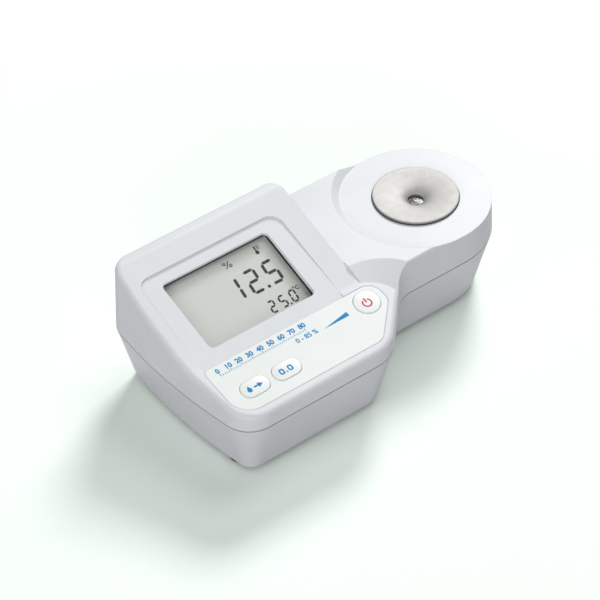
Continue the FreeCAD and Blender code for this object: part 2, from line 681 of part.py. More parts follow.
lower_ribbed = joined("lower_ribbed", [bay_open] + ribs)
cuts = [cylinder("cover_cut", S["cover_r"] + S["turn_gap"], 4, at(bay[0], bay[1], 0.5))]
for i in range(3):
    turn = Placement(Vector(bay[0], bay[1], 0), Rotation(Vector(0, 0, 1), 90 + 120 * i))
    cuts.append(box("lug_notch_%d" % (i + 1), 4, 10.4, 4, turn.multiply(at(v("lug_r") - 1.6, 0, 0.5))))
for i, (x, y) in enumerate(CASE_SCREWS, start=1):
    cuts.append(cylinder("post_bore_%d" % i, S["screw_r"] + S["turn_gap"], 40, at(x, y, 0)))
    cuts.append(cylinder("post_sink_%d" % i, S["head_r"] + 0.4, v("screw_seat"), at(x, y, 0)))
FEET = [(-78.9, -30.9), (-80, 26), (70, 0), (70, 29)]
for i, (x, y) in enumerate(FEET, start=1):
    cuts.append(cylinder("foot_sink_%d" % i, S["foot_r"] + S["turn_gap"], S["foot_sink"] + 1,
                         at(x, y, v("base_z") - 1)))
lower_case = cut("lower_case", lower_ribbed, cuts)

# Gasket between the halves
gasket = case_pad("case_gasket", S["joint_groove"], lower_start, S["joint_gap"], 0.01)
gasket_plan = new_sketch(gasket, "gasket_inner", "XY_Plane", lower_start)
case_outline(gasket_plan, S["wall"])
gasket_cut = gasket.newObject("PartDesign::Pocket", "gasket_cut")
gasket_cut.Profile = gasket_plan
gasket_cut.Reversed = True
gasket_cut.Length = 2
gasket.Tip = gasket_cut
doc.recompute()

parts = [upper_case, lower_case, gasket]

# Display: pane under the window, glass cell in its frame, two contact strips, main board
pane = plate("display_window", S["window_wide"] + S["pane_edge"] * 2, S["window_deep"] + S["pane_edge"] * 2,
             S["pane_thick"], S["window_r"] + 1,
             on_display(v("window_x"), v("window_y"), -display_ceiling - v("pane_thick")))
frame_top = display_ceiling + v("pane_thick")
frame_long = S["window_wide"] + S["pane_edge"] * 2 + 3
frame_wide = S["window_deep"] + S["pane_edge"] * 2 + 2
glass_long = S["window_wide"] + 4.4
glass_wide = S["window_deep"] + 4.4


def display_at(n, y_shift=0.0):
    return on_display(v("window_x"), v("window_y"), n).multiply(at(0, y_shift, 0))


lcd_blank = plate("lcd_frame_blank", frame_long, frame_wide, S["main_drop"] - frame_top, 2.0,
                  display_at(-v("main_drop")))
lcd_frame = cut("lcd_frame", lcd_blank, [
    box("lcd_frame_sight", S["window_wide"] + 0.6, S["window_deep"] + 0.6, 12, display_at(-v("main_drop") - 1)),
    box("lcd_frame_seat", glass_long + S["fit_gap"] * 2, glass_wide + S["fit_gap"] * 2,
        S["main_drop"] - frame_top, display_at(-v("main_drop") - 1))])
glass_top = frame_top + 1
lcd_glass = box("lcd_glass", glass_long, glass_wide, S["lcd_thick"], display_at(-glass_top - v("lcd_thick")))
parts += [pane, lcd_frame, lcd_glass]
strip_high = S["main_drop"] - glass_top - S["lcd_thick"]
strip_y = glass_wide.value / 2 - 1.6
for name, shift in (("front", -strip_y), ("rear", strip_y)):
    parts.append(box("contact_strip_" + name, glass_long - 4, 2.4, strip_high, display_at(-v("main_drop"), shift)))
main_blank = plate("main_board_blank", 84, 47, S["board_thick"], 2,
                   on_display(-48.7, 8.4, -v("main_drop") - v("board_thick")))
main_board = cut("main_board", main_blank, [
    cylinder("main_board_bore_%d" % i, S["small_screw_r"] + S["turn_gap"], 6,
             on_display(x, y, -v("main_drop") - 3)) for i, (x, y) in enumerate(BOARD_SCREWS, start=1)])
parts.append(main_board)
parts.append(box("processor", 12, 12, S["chip_thick"],
                 on_display(-52, 12, -v("main_drop") - v("board_thick") - v("chip_thick"))))


def small_screw(label, place):
    return screw(label, S["small_head_r"], S["small_head_high"], S["small_screw_r"],
                 S["small_head_high"] + S["small_screw_long"], place)


for i, (x, y) in enumerate(BOARD_SCREWS, start=1):
    parts.append(small_screw("board_screw_%d" % i,
                             on_display(x, y, -v("main_drop") - v("board_thick") - v("small_head_high"))))

# Keys: overlay in its recess, three key caps, switches and their board
overlay_holes = []
for name, x, y in KEYS:
    overlay_holes.append(plate(name + "_hole", S["key_long"] + S["key_gap"] * 2, S["key_wide"] + S["key_gap"] * 2,
                               4, S["key_wide"] / 2 + S["key_gap"] - 0.05, on_keys(x, y, -2)))
overlay_holes.append(cylinder("power_hole", S["power_r"] + S["key_gap"], 4, on_keys(POWER[0], POWER[1], -2)))
overlay = cut("key_overlay", overlay_body("overlay_sheet", v("overlay_gap"), S["overlay_thick"],
                                          -v("overlay_thick")), overlay_holes)
parts.append(overlay)
flange_top = key_ceiling + 0.1
cap_high = S["key_proud"] + flange_top + 0.4
stem_high = S["stem_tip"] - flange_top - S["flange_thick"] + 0.4
for name, x, y in KEYS:
    cap = plate(name + "_cap", S["key_long"], S["key_wide"], cap_high, S["key_wide"] / 2 - 0.05,
                on_keys(x, y, -flange_top - 0.4))
    flange = plate(name + "_flange", S["key_long"] + S["key_flange"] * 2, S["key_wide"] + S["key_flange"] * 2,
                   S["flange_thick"], S["key_wide"] / 2 + 0.5,
                   on_keys(x, y, -flange_top - v("flange_thick")))
    stem = cylinder(name + "_stem", S["stem_r"], stem_high, on_keys(x, y, -v("stem_tip")))
    parts.append(joined(name + "_key", [cap, flange, stem]))
x, y = POWER
cap = cylinder("power_cap", S["power_r"], cap_high, on_keys(x, y, -flange_top - 0.4))
flange = cylinder("power_flange", S["power_r"] + S["key_flange"], S["flange_thick"],
                  on_keys(x, y, -flange_top - v("flange_thick")))
stem = cylinder("power_stem", S["stem_r"], stem_high, on_keys(x, y, -v("stem_tip")))
parts.append(joined("power_key", [cap, flange, stem]))
button_top = S["stem_tip"] + S["key_travel"] + S["key_slack"]
for name, x, y in KEYS + [("power", POWER[0], POWER[1])]:
    base = box(name + "_switch_base", 6, 6, S["switch_high"], on_keys(x, y, -v("keypad_drop")))
    button = cylinder(name + "_switch_button", 1.6, S["keypad_drop"] - button_top, on_keys(x, y, -v("keypad_drop")))
    parts.append(joined(name + "_switch", [base, button]))
keypad_blank = new_body("keypad_board_blank")
keypad_plan = new_sketch(keypad_blank, "keypad_board_plan", "XY_Plane", 0)
polygon(keypad_plan, [(-38, -10.5), (30.5, -10.5), (42, 1), (42, 10.5), (-38, 10.5)])
keypad_pad = keypad_blank.newObject("PartDesign::Pad", "keypad_board_pad")
keypad_pad.Profile = keypad_plan
bind(keypad_pad, "Length", S["board_thick"])
keypad_blank.Tip = keypad_pad
keypad_blank.Placement = on_keys(-39.5, -30.5, -v("keypad_drop") - v("board_thick"))
doc.recompute()
parts.append(cut("keypad_board", keypad_blank, [
    cylinder("keypad_board_bore_%d" % i, S["small_screw_r"] + S["turn_gap"], 6,
             on_keys(x, y, -v("keypad_drop") - 3)) for i, (x, y) in enumerate(KEYPAD_SCREWS, start=1)]))
for i, (x, y) in enumerate(KEYPAD_SCREWS, start=1):
    parts.append(small_screw("keypad_screw_%d" % i,
                             on_keys(x, y, -v("keypad_drop") - v("board_thick") - v("small_head_high"))))

# Sample well: steel dish with seal and nut, prism, optics block with lamp, lens and sensor
well = at(v("well_x"), v("well_y"), 0)
flange_low = S["disc_z"] + S["seal_thick"]
dish_blank = turned("dish_blank", [
    (S["ring_r"], flange_low), (S["ring_r"], S["dish_top"] - 0.4), (S["ring_r"] - 0.4, S["dish_top"]),
    (16.5, S["dish_top"] - 0.25), (12.0, S["dish_top"] - 0.85), (9.0, S["prism_top"] + 2.1),
    (6.8, S["prism_top"] + 1.3), (5.2, S["prism_top"] + 0.7), (S["prism_hole_r"] + 0.5, S["prism_top"] + 0.4),
    (S["prism_hole_r"], S["prism_top"] + 0.2),
    (S["prism_hole_r"], S["prism_top"] - 1.5), (S["neck_r"] + S["turn_gap"], S["prism_top"] - 1.5),
    (S["neck_r"] + S["turn_gap"], S["dish_low"]), (S["dish_foot_r"], S["dish_low"]),
    (S["dish_foot_r"], S["dish_step"]), (S["dish_body_r"], S["dish_step"]), (S["dish_body_r"], flange_low)], well)
OPTIC_SCREWS = [(0, 12.6), (0, -12.6)]
parts.append(cut("sample_dish", dish_blank, [
    cylinder("dish_bore_%d" % i, S["small_screw_r"] + S["turn_gap"], 5.5, well.multiply(at(x, y, v("dish_low") - 1)))
    for i, (x, y) in enumerate(OPTIC_SCREWS, start=1)]))
parts.append(ring("well_seal", S["dish_body_r"] + S["turn_gap"], S["ring_r"] + 0.3, S["seal_thick"],
                  well.multiply(at(0, 0, v("disc_z")))))
parts.append(ring("well_nut", S["dish_body_r"] + S["turn_gap"], S["nut_r"], S["nut_high"],
                  well.multiply(at(0, 0, v("disc_z") - v("wall") - v("nut_high")))))
prism_z = v("prism_top") - 1.9


def prism_form(label, half_x, half_y):
    body = new_body(label)
    sketch = new_sketch(body, label + "_profile", "XZ_Plane", 0)
    polygon(sketch, [(-half_x, 0), (-half_x, -1), (-half_x + 5, -6), (half_x - 5, -6), (half_x, -1), (half_x, 0)])
    pad = body.newObject("PartDesign::Pad", label + "_pad")
    pad.Profile = sketch
    pad.Midplane = True
    pad.Length = half_y * 2
    body.Tip = pad
    body.Placement = well.multiply(at(0, 0, prism_z))
    doc.recompute()
    return body


parts.append(joined("prism", [
    prism_form("prism_body", 6.5, 5.0),
    cylinder("prism_face", S["prism_hole_r"] - S["turn_gap"], S["prism_top"] - S["prism_sink"] - prism_z,
             well.multiply(at(0, 0, prism_z)))]))
parts.append(ring("prism_seal", S["prism_hole_r"], S["prism_hole_r"] + 1.0, S["seal_thick"],
                  well.multiply(at(0, 0, prism_z))))
block_plan = new_body("optics_arms")
arms = new_sketch(block_plan, "optics_arms_profile", "XZ_Plane", 0)
top = v("dish_low") - 2.5
polygon(arms, [(-13.2, top), (-18.1, top - 4.9), (-11.1, top - 11.9), (-3.7, top - 4.5), (3.7, top - 4.5),
               (11.1, top - 11.9), (18.1, top - 4.9), (13.2, top)])
arms_pad = block_plan.newObject("PartDesign::Pad", "optics_arms_pad")
arms_pad.Profile = arms
arms_pad.Midplane = True
arms_pad.Length = 20
block_plan.Tip = arms_pad
block_plan.Placement = well
doc.recompute()
block_blank = joined("optics_blank", [
    block_plan,
    cylinder("optics_flange", S["dish_foot_r"] - 0.2, 2.5, well.multiply(at(0, 0, top))),
    cylinder("optics_neck", S["neck_r"], prism_z - top, well.multiply(at(0, 0, top)))])


def tunnel(side):
    """Placement at the end face of an optics arm, Z along its bore toward the prism."""
    turn = Rotation(Vector(0, 1, 0), -45 * side)
    return well.multiply(Placement(Vector(14.6 * side, 0, top - 8.4), turn))


block_cuts = [box("prism_pocket", 13.6, 10.6, 12, well.multiply(at(0, 0, prism_z - 6)))]
for side, name in ((-1, "lamp"), (1, "sensor")):
    block_cuts.append(cylinder(name + "_tunnel", S["tunnel_r"], 14, tunnel(side).multiply(at(0, 0, -1))))
for i, (x, y) in enumerate(OPTIC_SCREWS, start=1):
    block_cuts.append(cylinder("optics_bore_%d" % i, S["small_screw_r"] + S["turn_gap"], 8,
                               well.multiply(at(x, y, top - 2))))
probe_spot = well.multiply(Placement(Vector(8.9, 8.9, 0), Rotation(Vector(0, 0, 1), 45)))
block_cuts.append(box("probe_notch", 4.6, 4.6, 4, probe_spot.multiply(at(0, 0, top - 0.5))))
for side, name in ((-1, "lamp"), (1, "sensor")):
    for i, y in enumerate((-7.5, 7.5), start=1):
        block_cuts.append(cylinder("%s_board_bore_%d" % (name, i), S["small_screw_r"] + S["turn_gap"], 6,
                                   tunnel(side).multiply(at(0, y, -1))))
parts.append(cut("optics_block", block_blank, block_cuts))
for i, (x, y) in enumerate(OPTIC_SCREWS, start=1):
    parts.append(small_screw("optics_screw_%d" % i, well.multiply(at(x, y, top - v("small_head_high")))))
number = 0
for side, name in ((-1, "lamp"), (1, "sensor")):
    blank = plate(name + "_board_blank", 9.4, 19.6, S["board_thick"], 1,
                  tunnel(side).multiply(at(0, 0, -v("board_thick"))))
    parts.append(cut(name + "_board", blank, [
        cylinder("%s_board_hole_%d" % (name, i), S["small_screw_r"] + S["turn_gap"], 6,
                 tunnel(side).multiply(at(0, y, -3))) for i, y in enumerate((-7.5, 7.5), start=1)]))
    for y in (-7.5, 7.5):
        number += 1
        parts.append(screw("optics_board_screw_%d" % number, S["small_head_r"], 1.0, S["small_screw_r"], 5.5,
                           tunnel(side).multiply(at(0, y, -v("board_thick") - 1.0))))
parts.append(turned("lamp", [(0, 0), (2.9, 0), (2.9, 1), (2.5, 1), (2.5, 5), (1.9, 6.4), (0, 7.2)], tunnel(-1)))
parts.append(turned("lens", [(0, 7), (2.9, 7), (2.9, 8.2), (2.0, 8.9), (0, 9.2)], tunnel(1)))
parts.append(box("image_sensor", 4.2, 4.2, 1.2, tunnel(1)))
parts.append(box("temperature_probe", 3.4, 3.4, S["probe_thick"],
                 probe_spot.multiply(at(0, 0, v("dish_low") - v("probe_thick")))))

# Battery, its contacts, the round cover with seal, screws and feet
battery_x = v("bay_x") - 3.3
battery = box("battery_body", S["battery_long"], S["battery_wide"], S["battery_high"],
              at(battery_x, bay[1], v("battery_z")))
studs = []
stud_x = battery_x + v("battery_long") / 2 - 0.2
for name, y, radius in (("small", -6.4, 2.9), ("large", 6.4, 3.5)):
    studs.append(cylinder(name + "_stud", radius, 2.3, Placement(
        Vector(stud_x, bay[1] + y, v("battery_z") + v("battery_high") / 2), Rotation(Vector(0, 1, 0), 90))))
parts.append(joined("battery", [battery] + studs))
parts.append(box("battery_contacts", S["contact_thick"], 24, 14,
                 at(-21.0 - v("contact_thick") / 2, bay[1], v("battery_z") + 1.5)))
bay_axis = at(bay[0], bay[1], 0)
seal_low = S["base_z"] + 1.7
cover_blank = turned("cover_blank", [
    (0, S["base_z"]), (S["cover_r"] - 0.4, S["base_z"]), (S["cover_r"], S["base_z"] + 0.4), (S["cover_r"], seal_low),
    (S["cover_ring_r"], seal_low), (S["cover_ring_r"], S["battery_z"] - 0.2),
    (S["cover_ring_r"] - 1.6, S["battery_z"] - 0.2), (S["cover_ring_r"] - 1.6, seal_low + 0.4),
    (16, seal_low + 0.4), (16, S["battery_z"] - 0.2), (14.4, S["battery_z"] - 0.2), (14.4, seal_low + 0.4),
    (0, seal_low + 0.4)], bay_axis)
lugs = []
for i in range(3):
    turn = bay_axis.multiply(Placement(Vector(0, 0, 0), Rotation(Vector(0, 0, 1), 30 + 120 * i)))
    reach = S["lug_r"] - S["cover_ring_r"] + 1
    lugs.append(box("cover_lug_%d" % (i + 1), reach, 9, 1.8,
                    turn.multiply(at(v("lug_r") - reach.value / 2, 0, floor_z.value + 0.35))))
cover_joined = joined("cover_joined", [cover_blank] + lugs)
parts.append(cut("battery_cover", cover_joined, [
    box("coin_slot", S["slot_long"], S["slot_wide"], S["slot_deep"] + 1, bay_axis.multiply(at(0, 0, v("base_z") - 1)))]))
parts.append(ring("cover_seal", S["cover_ring_r"] + 0.2, S["cover_r"], 0.8, bay_axis.multiply(at(0, 0, seal_low.value))))
for i, (x, y) in enumerate(CASE_SCREWS, start=1):
    parts.append(screw("case_screw_%d" % i, S["head_r"], 2.2, S["screw_r"], S["screw_long"] + 2.2,
                       at(x, y, v("screw_seat") - 2.2)))
for i, (x, y) in enumerate(FEET, start=1):
    parts.append(turned("foot_%d" % i, [(0, 0), (S["foot_r"] - 0.5, 0), (S["foot_r"], 0.5),
                                        (S["foot_r"], S["base_z"] + S["foot_sink"]),
                                        (0, S["base_z"] + S["foot_sink"])], at(x, y, 0)))

doc.recompute()
for item in doc.Objects:
    if "Invalid" in item.State or "Error" in item.State:
        raise RuntimeError("failed: " + item.Label)
for item in parts:
    if item.Shape.isNull() or not item.Shape.isValid():
        raise RuntimeError("bad shape: " + item.Label)
os.makedirs("parts", exist_ok=True)
for item in parts:
    item.Shape.exportStep("parts/%s.step" % item.Label)
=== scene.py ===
import math

import bmesh
import bpy
from mathutils import Matrix, Vector


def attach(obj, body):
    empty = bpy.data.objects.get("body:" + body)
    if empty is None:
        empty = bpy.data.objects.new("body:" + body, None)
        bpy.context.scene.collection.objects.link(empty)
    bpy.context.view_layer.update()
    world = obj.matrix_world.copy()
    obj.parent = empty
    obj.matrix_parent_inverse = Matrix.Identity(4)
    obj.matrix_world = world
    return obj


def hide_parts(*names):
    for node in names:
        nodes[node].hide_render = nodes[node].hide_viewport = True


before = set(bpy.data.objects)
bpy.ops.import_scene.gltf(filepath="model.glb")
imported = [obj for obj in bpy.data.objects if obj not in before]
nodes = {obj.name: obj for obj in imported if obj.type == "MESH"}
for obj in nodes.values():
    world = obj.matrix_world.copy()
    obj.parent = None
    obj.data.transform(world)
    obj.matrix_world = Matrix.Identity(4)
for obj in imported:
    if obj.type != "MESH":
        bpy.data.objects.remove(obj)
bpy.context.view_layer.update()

# Lower case half
# A deep tray moulded in pale blue-grey plastic with a fine spark-eroded skin. It carries the battery bay
# and the screw posts; its rim takes the gasket.
MM = 0.001
CASE_PLASTIC = (0.775, 0.800, 0.828)


def makers(tree, prefix):
    """A maker of nodes in a tree, and a feeder of a socket with a value or with another socket."""

    def feed(node, socket, value):
        if isinstance(value, bpy.types.NodeSocket):
            tree.links.new(value, node.inputs[socket])
        else:
            node.inputs[socket].default_value = value

    def add(kind, plugs=None, **settings):
        node = tree.nodes.new(prefix + kind)
        for setting, value in settings.items():
            setattr(node, setting, value)
        for socket, value in (plugs or {}).items():
            feed(node, socket, value)
        return node

    return add, feed


def new_finish(name):
    """A node material, its main shader, and its maker and feeder of further nodes."""
    material = bpy.data.materials.new(name)
    material.use_nodes = True
    add, feed = makers(material.node_tree, "ShaderNode")
    return material, material.node_tree.nodes["Principled BSDF"], add, feed


def shade(colour, level):
    """The colour made paler or darker by a factor, with a full fourth part."""
    return tuple(part * level for part in colour) + (1.0,)


def between(add, amount, low, high):
    """Colour that runs from low to high with an amount from 0 to 1."""
    return add("Mix", {0: amount, 6: low, 7: high}, data_type="RGBA").outputs[2]


def spread(add, source, low, high, to_low, to_high):
    """A value that runs from to_low to to_high while the source runs from low to high."""
    return add("MapRange", {"Value": source, "From Min": low, "From Max": high, "To Min": to_low,
                            "To Max": to_high}).outputs["Result"]


def moulded(name, colour, roughness, skin_mm, skin_depth, edge_mm=0.0, edge_wear_and_highlight=0.0):
    """Moulded plastic: a slightly cloudy colour, a fine skin, and edges painted a little paler, as rubbed
    wear and as a painted highlight.
    """
    material, main, add, feed = new_finish(name)
    place = add("TexCoord").outputs["Object"]
    cloud = add("TexNoise", {"Vector": place, "Scale": 38.0, "Detail": 4.0, "Roughness": 0.6}).outputs["Fac"]
    skin = add("TexNoise", {"Vector": place, "Scale": 1 / (skin_mm * MM), "Detail": 3.0}).outputs["Fac"]
    tint = between(add, spread(add, cloud, 0.3, 0.7, 0.0, 1.0), shade(colour, 0.97), shade(colour, 1.02))
    feed(main, "Roughness", spread(add, skin, 0.3, 0.7, roughness - 0.06, roughness + 0.06))
    bump = add("Bump", {"Height": skin, "Strength": 0.5, "Distance": skin_depth * MM})
    if edge_mm:
        edge = add("Bevel", {"Radius": edge_mm * MM}, samples=6).outputs["Normal"]
        feed(bump, "Normal", edge)
        flat = add("NewGeometry").outputs["Normal"]
        turn = add("VectorMath", {0: edge, 1: flat}, operation="DOT_PRODUCT").outputs["Value"]
        # edges painted paler: partly rubbed wear, partly a painted highlight along every rim
        tint = between(add, spread(add, turn, 0.99, 0.80, 0.0, edge_wear_and_highlight), tint, shade(colour, 1.12))
    feed(main, "Base Color", tint)
    feed(main, "Normal", bump.outputs["Normal"])
    main.inputs["IOR"].default_value = 1.49
    return material


def dress(names, material):
    for name in names:
        nodes[name].data.materials[0] = material


# the case and cover edges get the painted highlight and rubbed wear of moulded()
case_skin = moulded("case_plastic", CASE_PLASTIC, 0.42, 0.35, 0.008, edge_mm=0.5, edge_wear_and_highlight=0.5)
dress(["lower_case"], case_skin)

# Rubber feet
# Four turned-over buttons of soft black rubber, pressed into round recesses of the tray.


def rubber(name, colour, grain_mm):
    """Soft rubber: dull, faintly mottled, with a bloom of paler dust."""
    material, main, add, feed = new_finish(name)
    place = add("TexCoord").outputs["Object"]
    mottle = add("TexNoise", {"Vector": place, "Scale": 260.0, "Detail": 5.0}).outputs["Fac"]
    grain = add("TexNoise", {"Vector": place, "Scale": 1 / (grain_mm * MM), "Detail": 2.0}).outputs["Fac"]
    feed(main, "Base Color", between(add, spread(add, mottle, 0.35, 0.75, 0.0, 1.0), shade(colour, 0.8),
                                     shade(colour, 1.6)))
    feed(main, "Roughness", spread(add, grain, 0.3, 0.7, 0.62, 0.85))
    bump = add("Bump", {"Height": grain, "Strength": 0.6, "Distance": 0.02 * MM})
    feed(main, "Normal", bump.outputs["Normal"])
    return material


foot_rubber = rubber("foot_rubber", (0.022, 0.022, 0.024), 0.5)
dress(["foot_%d" % i for i in range(1, 5)], foot_rubber)

# Screws
# Self-cutting screws with a low domed head, a cross recess and a rolled thread, in zinc-plated steel.
# Five hold the case halves, the rest hold the boards and the optics block.
DISPLAY_SLOPE, DISPLAY_FOOT = 0.345, (-13.8, 47.228)
KEYS_SLOPE, KEYS_FOOT = 0.19, (-45.0, 41.3)
DISPLAY_TILT, KEYS_TILT = math.atan(DISPLAY_SLOPE), math.atan(KEYS_SLOPE)
SCREW_LENGTHS = ("Head radius", "Head height", "Shank radius", "Length", "Pitch")
# shares of the head's radius and height
CROWN, RECESS_LONG, RECESS_WIDE, RECESS_DEEP = 0.8, 1.25, 0.3, 0.6
# shares of the shank's radius and length
CORE, RIDGE_AT, RIDGE_HIGH, THREADED = 0.8, 0.82, 0.17, 0.92


def on_slope(x, y, n, slope, foot):
    """Placement on a slope that starts at foot, over plan point x, y and raised by n millimetres."""
    spot = Vector((x, y, foot[1] + slope * (y - foot[0]))) * MM
    tilt = Matrix.Rotation(math.atan(slope), 4, "X")
    return Matrix.Translation(spot) @ tilt @ Matrix.Translation((0, 0, n * MM))


def display_at(x, y, n):
    return on_slope(x, y, n, DISPLAY_SLOPE, DISPLAY_FOOT)


def keys_at(x, y, n):
    return on_slope(x, y, n, KEYS_SLOPE, KEYS_FOOT)


def new_tree(name, sockets):
    """A geometry tree that takes and gives geometry, with further named inputs."""
    tree = bpy.data.node_groups.new(name, "GeometryNodeTree")
    for socket, kind in [("Geometry", "Geometry"), *sockets]:
        tree.interface.new_socket(socket, in_out="INPUT", socket_type="NodeSocket" + kind)
    tree.interface.new_socket("Geometry", in_out="OUTPUT", socket_type="NodeSocketGeometry")
    add, feed = makers(tree, "")
    return tree, add, feed, tree.nodes.new("NodeGroupInput").outputs


def close_tree(add, geometry, material):
    """Makes the copies real, gives them their material and sends them out."""
    real = add("GeometryNodeRealizeInstances", {0: geometry})
    coated = add("GeometryNodeSetMaterial", {"Geometry": real.outputs[0], "Material": material})
    add("NodeGroupOutput", {0: coated.outputs[0]})


def screw_tree():
    """Sets one cross-head screw on every point of a mesh; the head's outer face lies on the point."""
    tree, add, feed, given = new_tree("cross_head_screws", [
        *((name, "Float") for name in SCREW_LENGTHS), ("Turn", "Rotation"), ("Metal", "Material")])
    head_r, head_high, shank_r = given["Head radius"], given["Head height"], given["Shank radius"]

    def maths(operation, one, other):
        return add("ShaderNodeMath", {0: one, 1: other}, operation=operation).outputs[0]

    def times(source, factor):
        return maths("MULTIPLY", source, factor)

    def spot(x, y, z):
        return add("ShaderNodeCombineXYZ", {0: x, 1: y, 2: z}).outputs[0]

    def raised(shape, height):
        return add("GeometryNodeTransform", {"Geometry": shape, "Translation": spot(0.0, 0.0, height)})

    head = add("GeometryNodeMeshCone", {"Vertices": 32, "Radius Bottom": times(head_r, CROWN),
                                        "Radius Top": head_r, "Depth": head_high})
    hollowed = add("GeometryNodeMeshBoolean", {0: head.outputs["Mesh"]}, operation="DIFFERENCE")
    for wide, deep in ((RECESS_LONG, RECESS_WIDE), (RECESS_WIDE, RECESS_LONG)):
        size = spot(times(head_r, wide), times(head_r, deep), times(head_high, 2 * RECESS_DEEP))
        feed(hollowed, 1, add("GeometryNodeMeshCube", {"Size": size}).outputs["Mesh"])
    long = maths("SUBTRACT", given["Length"], head_high)
    core = add("GeometryNodeMeshCylinder", {"Vertices": 20, "Radius": times(shank_r, CORE), "Depth": long})
    core_up = raised(core.outputs["Mesh"], maths("ADD", head_high, times(long, 0.5)))
    run = times(long, THREADED)
    around = times(shank_r, RIDGE_AT)
    helix = add("GeometryNodeCurveSpiral", {
        "Resolution": 14, "Rotations": maths("DIVIDE", run, given["Pitch"]), "Start Radius": around,
        "End Radius": around, "Height": run})
    ridge = add("GeometryNodeCurvePrimitiveCircle", {"Resolution": 3, "Radius": times(shank_r, RIDGE_HIGH)})
    thread = add("GeometryNodeCurveToMesh", {
        "Curve": helix.outputs["Curve"], "Profile Curve": ridge.outputs["Curve"], "Fill Caps": True})
    bare_end = times(long, (1 - THREADED) / 2)
    thread_up = raised(thread.outputs["Mesh"], maths("ADD", head_high, bare_end))
    whole = add("GeometryNodeJoinGeometry")
    for piece in (thread_up, core_up, hollowed):
        feed(whole, 0, piece.outputs[0])
    placed = add("GeometryNodeInstanceOnPoints", {
        "Points": given["Geometry"], "Instance": whole.outputs[0], "Rotation": given["Turn"]})
    close_tree(add, placed.outputs[0], given["Metal"])
    return tree


def plated_steel(name, colour, grain):
    """Bright plating over rolled steel: fine streaks and small dull patches."""
    material, main, add, feed = new_finish(name)
    place = add("TexCoord").outputs["Object"]
    streak = add("TexNoise", {"Vector": place, "Scale": grain, "Detail": 4.0}).outputs["Fac"]
    feed(main, "Base Color", between(add, streak, shade(colour, 0.85), shade(colour, 1.05)))
    feed(main, "Roughness", spread(add, streak, 0.3, 0.7, 0.22, 0.42))
    bump = add("Bump", {"Height": streak, "Strength": 0.3, "Distance": 0.01 * MM})
    feed(main, "Normal", bump.outputs["Normal"])
    main.inputs["Metallic"].default_value = 1.0
    return material


screws_of = screw_tree()
screw_zinc = plated_steel("screw_zinc", (0.62, 0.62, 0.60), 900.0)


def new_piece(name, data):
    piece = bpy.data.objects.new(name, data)
    bpy.context.scene.collection.objects.link(piece)
    return piece


def evaluated_mesh(piece):
    return bpy.data.meshes.new_from_object(piece.evaluated_get(bpy.context.evaluated_depsgraph_get()))


def settle(piece, tool):
    """What a modifier makes becomes the piece's plain mesh, and the modifier goes."""
    solid = evaluated_mesh(piece)
    piece.modifiers.remove(tool)
    piece.data = solid


def run_tree(piece, tree, values):
    """Gives a tree its inputs, each by its socket's identifier, and keeps what it makes."""
    tool = piece.modifiers.new(tree.name, "NODES")
    tool.node_group = tree
    sockets = {item.name: item.identifier for item in tree.interface.items_tree if item.in_out == "INPUT"}
    for name, value in values.items():
        tool[sockets[name]] = value
    settle(piece, tool)


def set_screws(name, places, turn, sizes, replaced):
    """One piece of like screws: placements in metres, sizes in millimetres."""
    points = bpy.data.meshes.new(name + "_points")
    points.from_pydata([place.to_translation() for place in places], [], [])
    holder = new_piece(name, points)
    lengths = {socket: size * MM for socket, size in zip(SCREW_LENGTHS, sizes)}
    run_tree(holder, screws_of, {**lengths, "Turn": turn, "Metal": screw_zinc})
    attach(holder, "case")
    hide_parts(*replaced)


CASE_SCREWS = [(-83.0, -18.5), (-77.6, 38.4), (6.0, -12.0), (12.0, 38.0), (84.0, 14.5)]
CASE_HEADS_LOW = 11.8
# head radius and height, shank radius, length and pitch
CASE_SCREW = (2.7, 2.2, 1.25, 26.2, 1.1)
BOARD_SCREW = (1.9, 1.4, 0.9, 7.4, 0.7)
set_screws("case_screws", [Matrix.Translation(Vector((x, y, CASE_HEADS_LOW)) * MM) for x, y in CASE_SCREWS],
           (0.0, 0.0, 0.0), CASE_SCREW, ["case_screw_%d" % i for i in range(1, 6)])

# Battery, its contact plate and the round cover
# A nine-volt block in a printed steel can lies in the bay; a bayonet cover with a coin slot and a rubber
# seal closes it from below.
BAND_EDGE, BAND_BLUR = -36.2, 0.2


def battery_can():
    """Printed can: dark body with a copper-coloured band at the stud end."""
    material, main, add, feed = new_finish("battery_print")
    place = add("TexCoord").outputs["Object"]
    along = add("SeparateXYZ", {0: place}).outputs["X"]
    scratch = add("TexNoise", {"Vector": place, "Scale": 420.0, "Detail": 5.0}).outputs["Fac"]
    band = spread(add, along, BAND_EDGE * MM, (BAND_EDGE + BAND_BLUR) * MM, 0.0, 1.0)
    body = between(add, scratch, (0.020, 0.021, 0.024, 1), (0.034, 0.035, 0.040, 1))
    copper = between(add, scratch, (0.50, 0.27, 0.12, 1), (0.62, 0.36, 0.17, 1))
    feed(main, "Base Color", between(add, band, body, copper))
    feed(main, "Roughness", spread(add, scratch, 0.3, 0.7, 0.25, 0.42))
    main.inputs["Metallic"].default_value = 0.6
    return material


dress(["battery"], battery_can())
dress(["battery_contacts"], moulded("contact_plate_plastic", (0.028, 0.028, 0.030), 0.5, 0.4, 0.01))
dress(["battery_cover"], moulded("cover_plastic", CASE_PLASTIC, 0.45, 0.35, 0.01, edge_mm=0.4, edge_wear_and_highlight=0.5))
dress(["cover_seal", "well_seal", "prism_seal"], rubber("seal_rubber", (0.018, 0.018, 0.020), 0.4))

# Boards
# Glass-fibre boards with green solder resist: the main board under the display, the key board, and two
# small ones on the optics block. Black moulded parts sit on them.
ARM_TILT = math.radians(45)


